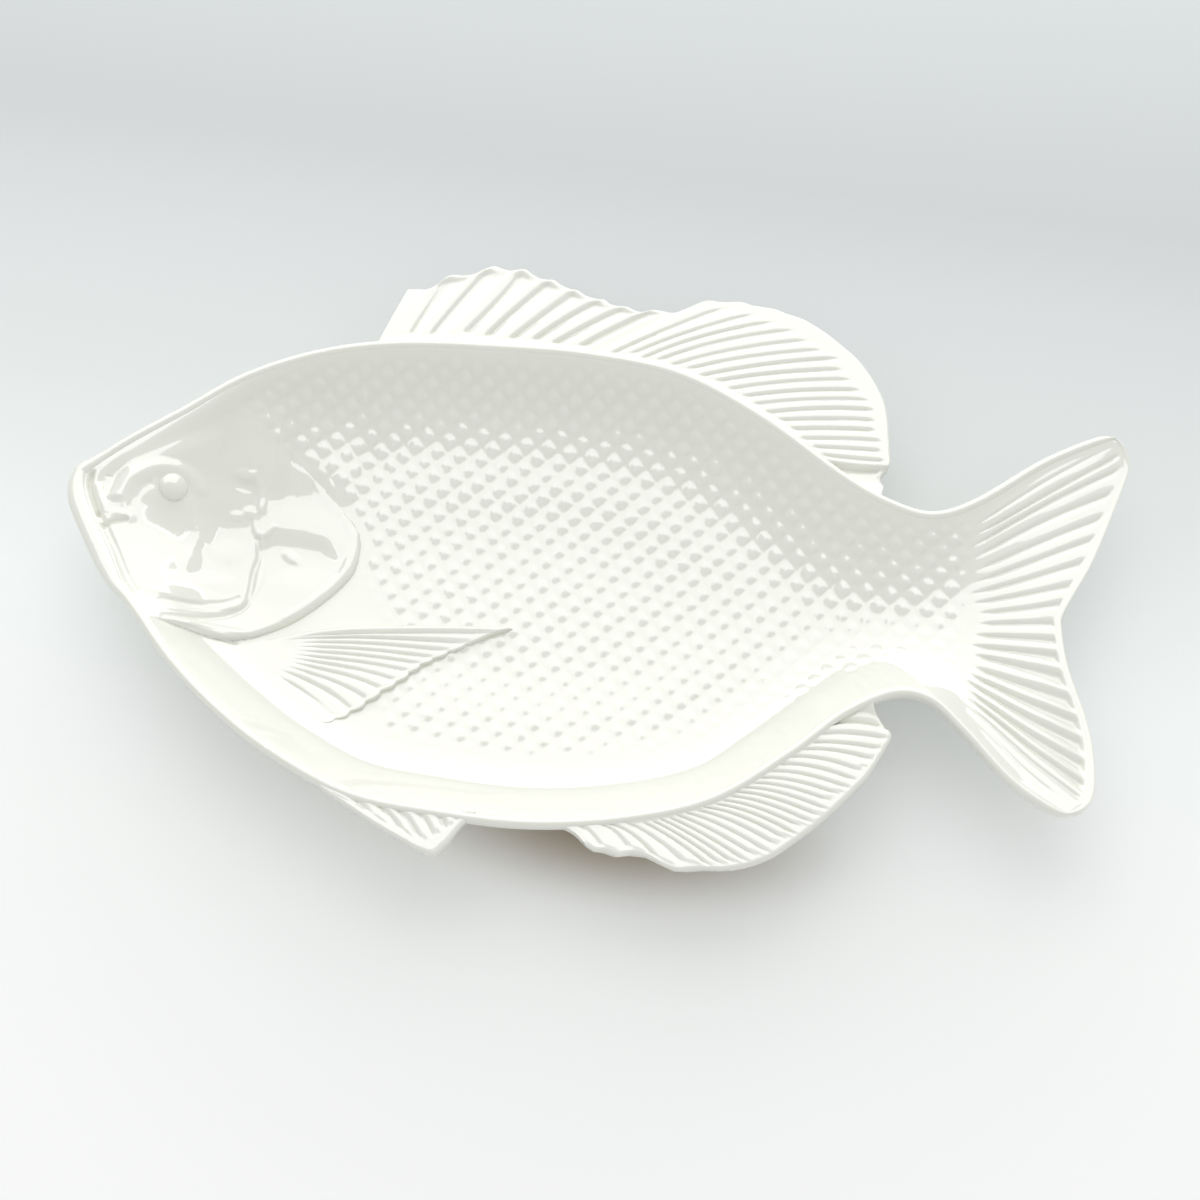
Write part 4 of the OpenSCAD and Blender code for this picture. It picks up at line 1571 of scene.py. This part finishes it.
@dataclass
class Studio:
    """Floor, lamps and the camera at the photograph's angle."""

    elevation: float = 64.0
    azimuth: float = 8.701
    view: float = 36.0
    distance: float = 783.28
    target: tuple = (9.254, -22.15, 40.0)
    toward: tuple = (-0.10, 0.75, 0.65)
    slant: tuple = (0.93, 0.35, 0.0)
    reach: float = 1.6
    window_size: tuple = (2.0, 2.25)
    window_glow: float = 0.75
    mirror_glow: float = 2.65
    strip: float = 0.05
    strip_glow: float = 4.6
    low_toward: tuple = (-0.10, 0.965, 0.22)
    low_size: tuple = (2.2, 0.45)
    low_glow: float = 2.8
    lamp_color: tuple = (1.0, 1.0, 0.985)
    behind: float = 0.1
    aim: tuple = (0.0, -0.02, 0.01)
    world_color: tuple = (0.98, 1.0, 0.99)
    world_glow: float = 0.77
    floor_size: float = 8.0

    def camera(self) -> None:
        """Sets the camera."""
        e, a = math.radians(self.elevation), math.radians(self.azimuth)
        back = Vector((math.sin(a) * math.cos(e), -math.cos(a) * math.cos(e), math.sin(e)))
        right = Vector((math.cos(a), math.sin(a), 0.0))
        up = back.cross(right)
        data = bpy.data.cameras.new("camera")
        data.angle = math.radians(self.view)
        data.clip_start, data.clip_end = 0.01, 20.0
        cam = bpy.data.objects.new("camera", data)
        place = Matrix((right, up, back)).transposed().to_4x4()
        place.translation = (Vector(self.target) + back * self.distance) * MM
        cam.matrix_world = place
        bpy.context.scene.collection.objects.link(cam)
        bpy.context.scene.camera = cam

    def floor(self) -> None:
        """Lays a wide pale floor."""
        bpy.ops.object.select_all(action="DESELECT")
        bpy.ops.mesh.primitive_plane_add(size=self.floor_size, location=(0, 0, 0))
        floor = bpy.context.object
        floor.name = "floor"
        floor.data.materials.append(Paper().material())

    def lamp(self, name: str, place: Matrix, size: tuple, glow: float, mirrored: bool) -> None:
        """Hangs a soft box, which either lights the pieces or is only mirrored in their glaze.

        Args:
            name: name of the lamp.
            place: its place, with its own X and Y along its sides.
            size: its two sides in metres.
            glow: how bright its face is.
            mirrored: whether only mirrored, and without light or shadow of its own.
        """
        data = bpy.data.lights.new(name, "AREA")
        data.shape, data.size, data.size_y = "RECTANGLE", size[0], size[1]
        data.energy, data.color = glow * math.pi * size[0] * size[1], self.lamp_color
        lamp = bpy.data.objects.new(name, data)
        lamp.matrix_world = place
        lamp.visible_diffuse, lamp.visible_glossy = not mirrored, mirrored
        bpy.context.scene.collection.objects.link(lamp)

    def facing(self, toward: tuple, slant: tuple) -> tuple[Vector, Matrix]:
        """Place of a lamp that faces the dish.

        Args:
            toward: where it hangs, seen from the dish.
            slant: direction of its width.

        Returns:
            The direction to it and its place.
        """
        back = Vector(toward).normalized()
        across = Vector(slant)
        across = (across - back * across.dot(back)).normalized()
        frame = Matrix((across, back.cross(across), back)).transposed().to_4x4()
        frame.translation = back * self.reach + Vector(self.aim)
        return back, frame

    def window(self) -> None:
        """Hangs the big soft box behind the dish, with a brighter strip along its sides, and a low one."""
        _, low = self.facing(self.low_toward, (1.0, 0.0, 0.0))
        self.lamp("low_window", low, self.low_size, self.low_glow, False)
        back, frame = self.facing(self.toward, self.slant)
        wide, high = self.window_size
        farther = Matrix.Translation(back * self.behind) @ frame
        self.lamp("window", farther, self.window_size, self.window_glow, False)
        self.lamp("window_mirrored", frame, self.window_size, self.mirror_glow, True)
        strip = self.strip
        for k, (u, v, w, h) in enumerate((
            (0, (high + strip) / 2, wide, strip),
            ((wide + strip) / 2, 0, strip, high), (-(wide + strip) / 2, 0, strip, high),
        )):
            spot = frame @ Matrix.Translation(Vector((u, v, 0.0)))
            self.lamp(f"window_edge_{k}", spot, (w, h), self.strip_glow, True)

    def build(self) -> None:
        """Sets up the whole studio."""
        scene = bpy.context.scene
        scene.view_settings.view_transform = "Standard"
        world = bpy.data.worlds.new("studio")
        world.use_nodes = True
        sky = world.node_tree.nodes["Background"].inputs
        sky["Color"].default_value, sky["Strength"].default_value = (*self.world_color, 1.0), self.world_glow
        scene.world = world
        self.floor()
        self.window()
        self.camera()


# Guides of the fins in millimetres: number of the groove, then its places at the root, in the middle and at
# the edge. Each guide list has the fin's free edge after it.
SPINY_GUIDES = (
    (0, (-112, 98), (-106.5, 111), (-103, 124.5)),
    (1, (-99, 100), (-92, 114.5), (-84, 135.5)),
    (2, (-90, 100.5), (-78, 121), (-66, 143.6)),
    (3, (-77, 101), (-62, 121.5), (-51, 144)),
    (4, (-66, 101), (-50, 122.5), (-37, 140)),
    (5, (-55, 101.5), (-38, 120), (-24.5, 135.5)),
    (6, (-45, 101.5), (-28, 118.5), (-12, 132.5)),
    (7, (-35, 102), (-17, 117), (-0.5, 130)),
    (8, (-23, 102), (-5, 116.8), (12, 130.5)),
    (9, (-13, 102), (5, 117), (23, 131)),
)
SPINY_EDGE = (
    (-103, 124.5), (-98, 125.4), (-94, 126), (-90, 129.5), (-87, 134), (-84, 136), (-79, 136.3), (-74, 138),
    (-70, 141.2), (-66, 143.6), (-62, 142.8), (-58, 142.2), (-54, 143.6), (-51, 144), (-48, 142), (-44, 140),
    (-40, 139.8), (-37, 140), (-33, 137.6), (-29, 136.2), (-25, 135.8), (-22, 134), (-19, 132.9), (-15, 132.5),
    (-12, 132.5), (-9, 130.6), (-5, 130), (-1, 130.2), (3, 128.7), (6, 128.3), (9, 129.4), (12, 130.5),
    (16, 130.2), (20, 130), (23, 131),
)
REAR_GUIDES = (
    (0, (-13, 102), (5, 117), (23, 131)),
    (1, (-6, 102), (17, 118.6), (50, 141)),
    (2, (1, 101.5), (29, 120), (67, 139.2)),
    (3, (8, 101), (38, 119.7), (79, 136)),
    (4, (14, 100.3), (46, 117.8), (88, 131.5)),
    (5, (21, 99), (53, 114.2), (95, 127)),
    (6, (27, 97.2), (60, 111.2), (101, 122.4)),
    (7, (34, 95), (68, 108.3), (106.5, 117.8)),
    (8, (40, 92.6), (73, 104.3), (111, 112.8)),
    (9, (47, 89.4), (79, 100.4), (115, 107.2)),
    (10, (53, 86.2), (84, 96.3), (118.2, 101.6)),
    (11, (59, 83), (90, 92.5), (120.8, 96.3)),
    (12, (65, 79.7), (94, 88.2), (122, 91)),
    (13, (70, 76.3), (98, 83.3), (123.3, 85.5)),
    (14, (76, 72.8), (101, 78.6), (124, 80.7)),
    (15, (82, 69), (105, 73.8), (124.7, 75.5)),
    (16, (87, 65.8), (108, 69.2), (125.2, 70.6)),
    (17, (92, 62.6), (111, 64.5), (125.8, 66)),
    (18, (98, 58.6), (112, 60), (124.5, 62.6)),
    (19, (122.5, 46.8), (123.2, 50.0), (123.8, 53.0)),
)
REAR_EDGE = (
    (23, 131), (28, 134.6), (33, 138.4), (36, 139.6), (42, 139.5), (47, 140.3), (51, 141), (56, 139.8),
    (62, 139.6), (67, 139.2), (72, 137.6), (79, 136), (84, 133.8), (90, 130.4), (95, 127), (100, 123.2),
    (105, 119.3), (110, 114), (115, 107.2), (118.2, 101.6), (121, 95.6), (123, 87), (124.2, 79), (125.2, 70.6),
    (125.9, 66), (125, 62.6), (123.2, 60.6), (122.3, 57.8), (122.6, 55.2), (123.8, 53.0),
)
ANAL_GUIDES = (
    (0, (6, -118), (13, -124.6), (20, -130)),
    (1, (12, -117.4), (19, -123.5), (27, -131.4)),
    (2, (18, -116), (28, -121.5), (38, -131)),
    (3, (24, -114.7), (37, -122.6), (50, -132.8)),
    (4, (31, -113), (46, -122.8), (62, -134.1)),
    (5, (37, -111.6), (54, -122.4), (71, -132.3)),
    (8.5, (48, -107), (67, -117.5), (88, -127.2)),
    (12, (59, -101.6), (80, -109), (101, -117.2)),
    (15, (68, -95.8), (88, -101.8), (110, -108)),
    (19, (79, -87), (99, -90.6), (121, -94.6)),
    (22, (90, -75.4), (110, -79.5), (129, -83.5)),
    (23, (94, -71.6), (114, -75), (132, -77.3)),
    (24, (97, -68), (116.5, -71.3), (134.4, -71.8)),
    (25, (101, -63.8), (119, -66.6), (136.4, -66.6)),
    (26, (106, -58.6), (121, -60.2), (134.6, -61.4)),
    (27, (124.5, -51.5), (126.5, -50.8), (128.2, -50.2)),
)
ANAL_EDGE = (
    (20, -130), (24, -131.8), (28, -131.4), (31, -131.9), (34, -132.7), (38, -131), (42, -130.5), (47, -131.5),
    (52, -133.6), (58, -135), (62, -134.1), (66, -133), (71, -132.3), (76, -131.6), (82, -129.8), (88, -127.2),
    (95, -122.8), (101, -117.2), (106, -112.2), (110, -108), (116, -101), (121, -94.6), (125.5, -88.6),
    (129, -83.5), (132, -77.3), (134.4, -71.8), (136.6, -66.2), (136.4, -63.4), (134.6, -61.4),
    (131.2, -57.0), (128.8, -53.0), (128.2, -50.2),
)
BELLY_GUIDES = (
    (0, (-93, -117), (-91.6, -119.6), (-90, -122.3)),
    (1, (-80, -119), (-75, -124.6), (-68, -132.8)),
    (2, (-70, -120), (-62, -128), (-51, -139.8)),
    (3, (-61, -120), (-53, -129.6), (-42.6, -142.8)),
    (4, (-53, -119.8), (-47, -128), (-37.4, -141.6)),
    (5, (-45, -119.6), (-41, -125.8), (-34, -136.6)),
    (6, (-37, -119.4), (-34.6, -123.4), (-31, -130.6)),
    (7, (-28, -119.4), (-27, -121.4), (-25.4, -124.6)),
)
BELLY_EDGE = (
    (-90, -122.3), (-85, -124.8), (-78, -128), (-68, -132.8), (-60, -136.3), (-51, -139.8), (-46, -141.8),
    (-42.6, -142.8), (-40.4, -143.3), (-38.6, -143), (-37.4, -141.6), (-35.6, -139.2), (-34, -136.6),
    (-32.4, -133.4), (-31, -130.6), (-29.4, -128), (-27.6, -126), (-25.4, -124.6),
)
TAIL_GUIDES = (
    (0, (157, 44), (190, 70), (222, 91.6)),
    (1, (158, 39), (187, 66), (221, 91)),
    (2, (158, 35), (188, 61), (224, 90)),
    (3, (158, 31), (190, 56), (227, 86)),
    (4, (158, 26.5), (190, 51.5), (227.6, 79)),
    (5, (158.5, 21.5), (190, 44), (225, 66.5)),
    (6, (159, 17), (189, 34), (221.6, 54)),
    (7, (160.5, 13), (188, 25.8), (218.6, 42.4)),
    (8, (161.5, 8.8), (188, 18.2), (214.6, 31)),
    (9, (162, 4.6), (187, 10.8), (210.4, 18)),
    (10, (162.3, 0), (187, 4), (207, 8.6)),
    (11, (162.3, -4.6), (186, -2.8), (204.6, -0.6)),
    (12, (162, -9.6), (186, -9.6), (204, -8.8)),
    (13, (162, -14.6), (186, -15.9), (205, -16.6)),
    (14, (162, -18.6), (186, -22.7), (208, -26)),
    (15, (162, -22.6), (187, -31), (212, -36.4)),
    (16, (162, -26.4), (188, -38), (215.6, -46)),
    (17, (162, -30), (189, -45.2), (217.6, -56)),
    (18, (162, -33.6), (190, -52.4), (218.2, -66)),
    (19, (162, -37), (190, -58), (217.8, -75.4)),
    (20, (162, -40.4), (190, -63.4), (216.4, -81)),
    (21, (162, -43.6), (189, -68.6), (212.6, -86)),
    (22, (162, -47), (187, -74), (209.3, -87.3)),
)
BREAST_GUIDES = (
    (0, (-136, -50.5), (-90, -36), (-28, -27)),
    (1, (-137.4, -51.6), (-92, -40.6), (-36.5, -31.4)),
    (2, (-138.5, -52.5), (-94, -43), (-46, -38)),
    (4, (-140, -54.5), (-96, -48.8), (-58.5, -47)),
    (6, (-140.6, -56.6), (-99, -54.8), (-67.5, -55.6)),
    (8, (-140.4, -58.8), (-103, -61), (-77.5, -66.6)),
    (10, (-139, -61), (-109, -68), (-88.5, -78.6)),
    (12, (-136.5, -63), (-119, -75.4), (-101, -85.6)),
)
BREAST_EDGE = (
    (-28, -27), (-37, -31.6), (-46, -38), (-53, -43), (-58.5, -47), (-64, -51.4), (-67.5, -55.6), (-72, -61.2),
    (-77.5, -66.6), (-83, -73), (-88.5, -78.6), (-94, -83.2), (-98, -85.3), (-101, -85.6),
)


class Platter:
    """The fish shaped platter, piece by piece."""

    def __init__(self) -> None:
        """Prepares the heights of the dish and the finishes."""
        self.well = Well()
        self.looks = {surface: finish.material() for surface, finish in FINISHES.items()}

    def add(self, made: bpy.types.Object, surface: Surface, *nodes: str) -> None:
        """Dresses a piece and sets it in the frame.

        Args:
            made: the piece.
            surface: its finish.
            nodes: CAD nodes that it stands for.
        """
        made.data.materials.clear()
        made.data.materials.append(self.looks[surface])
        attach(made, "root")
        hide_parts(*nodes)
        LOG.info("%s: %d faces for %s", made.name, len(made.data.polygons), ", ".join(nodes))

    def build(self) -> None:
        """Makes every piece."""
        well, glazed = self.well, Surface.GLAZED
        body = WellZone(well, "body_well", 2, 348, 246)
        self.add(body.build(), glazed, "well_floor", "back_wall", "belly_wall")
        self.add(WellZone(well, "face_looks", 0, 150, 240).build(), glazed, "face")
        self.add(WellZone(well, "gill_cover_looks", 1, 132, 300).build(), glazed, "gill_cover")
        self.add(TailFan(well, TAIL_GUIDES).build(), glazed, "tail_fin")
        loop = RimLoop(well)
        self.add(Rim(loop, "lower_lip", 0, 1).build(), glazed, "lower_jaw")
        self.add(Rim(loop, "back_bead", 1, 2).build(), glazed, "back_rim")
        self.add(Rim(loop, "tail_bead", 2, 3).build(), glazed, "tail_rim")
        self.add(Rim(loop, "belly_bead", 3, 4).build(), glazed, "belly_rim")
        self.add(UpperLip(well).build(), glazed, "upper_lip")
        self.add(Eye(well).build(), glazed, "eye")
        self.add(BreastFin(well, BREAST_GUIDES, BREAST_EDGE).build(), glazed, "breast_fin")
        for fin, node in self.fins(loop):
            self.add(fin.build(), glazed, node)
        self.add(FootRing().build(), Surface.BARE, "foot_ring")

    def fins(self, loop: RimLoop) -> tuple[tuple[RayFin, str], ...]:
        """Fins that stand outside the rim, which hides the first millimetre of their roots.

        Args:
            loop: line of the rim.

        Returns:
            Each fin with the CAD node that it stands for.
        """
        tuck = 1.0
        above, below = loop.outer(1, 2, tuck), loop.outer(3, 4, tuck)[::-1]
        spiny = RayFan.along(above, SPINY_GUIDES, SPINY_EDGE)
        rear = RayFan.along(above, REAR_GUIDES, REAR_EDGE)
        anal = RayFan.along(below, ANAL_GUIDES, ANAL_EDGE)
        belly = RayFan.along(below, BELLY_GUIDES, BELLY_EDGE)
        return (
            (
                RayFin("spiny_fin", spiny, 1.5, 0.28, lean=0.5, per_ray=20, start=0.05, end=0.97, flare=0.9),
                "spiny_back_fin",
            ),
            (RayFin("rear_fin", rear, 0.65, 0.17, start=0.0, cells=120, seed=4, web=1.0), "rear_back_fin"),
            (
                RayFin("anal_fin_looks", anal, 0.55, 0.13, crown=0.15, seed=6, end=0.96, web=1.0, fall=-1.1),
                "anal_fin",
            ),
            (
                RayFin("belly_fin_looks", belly, 0.8, 0.22, per_ray=18, cells=60, seed=3, end=0.86, fall=-1.1),
                "belly_fin",
            ),
        )


def main() -> None:
    """Builds the platter and its studio."""
    logging.basicConfig(level=logging.INFO, format="%(name)s: %(message)s")
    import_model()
    Platter().build()
    Studio().build()


if __name__ == "__main__":
    main()
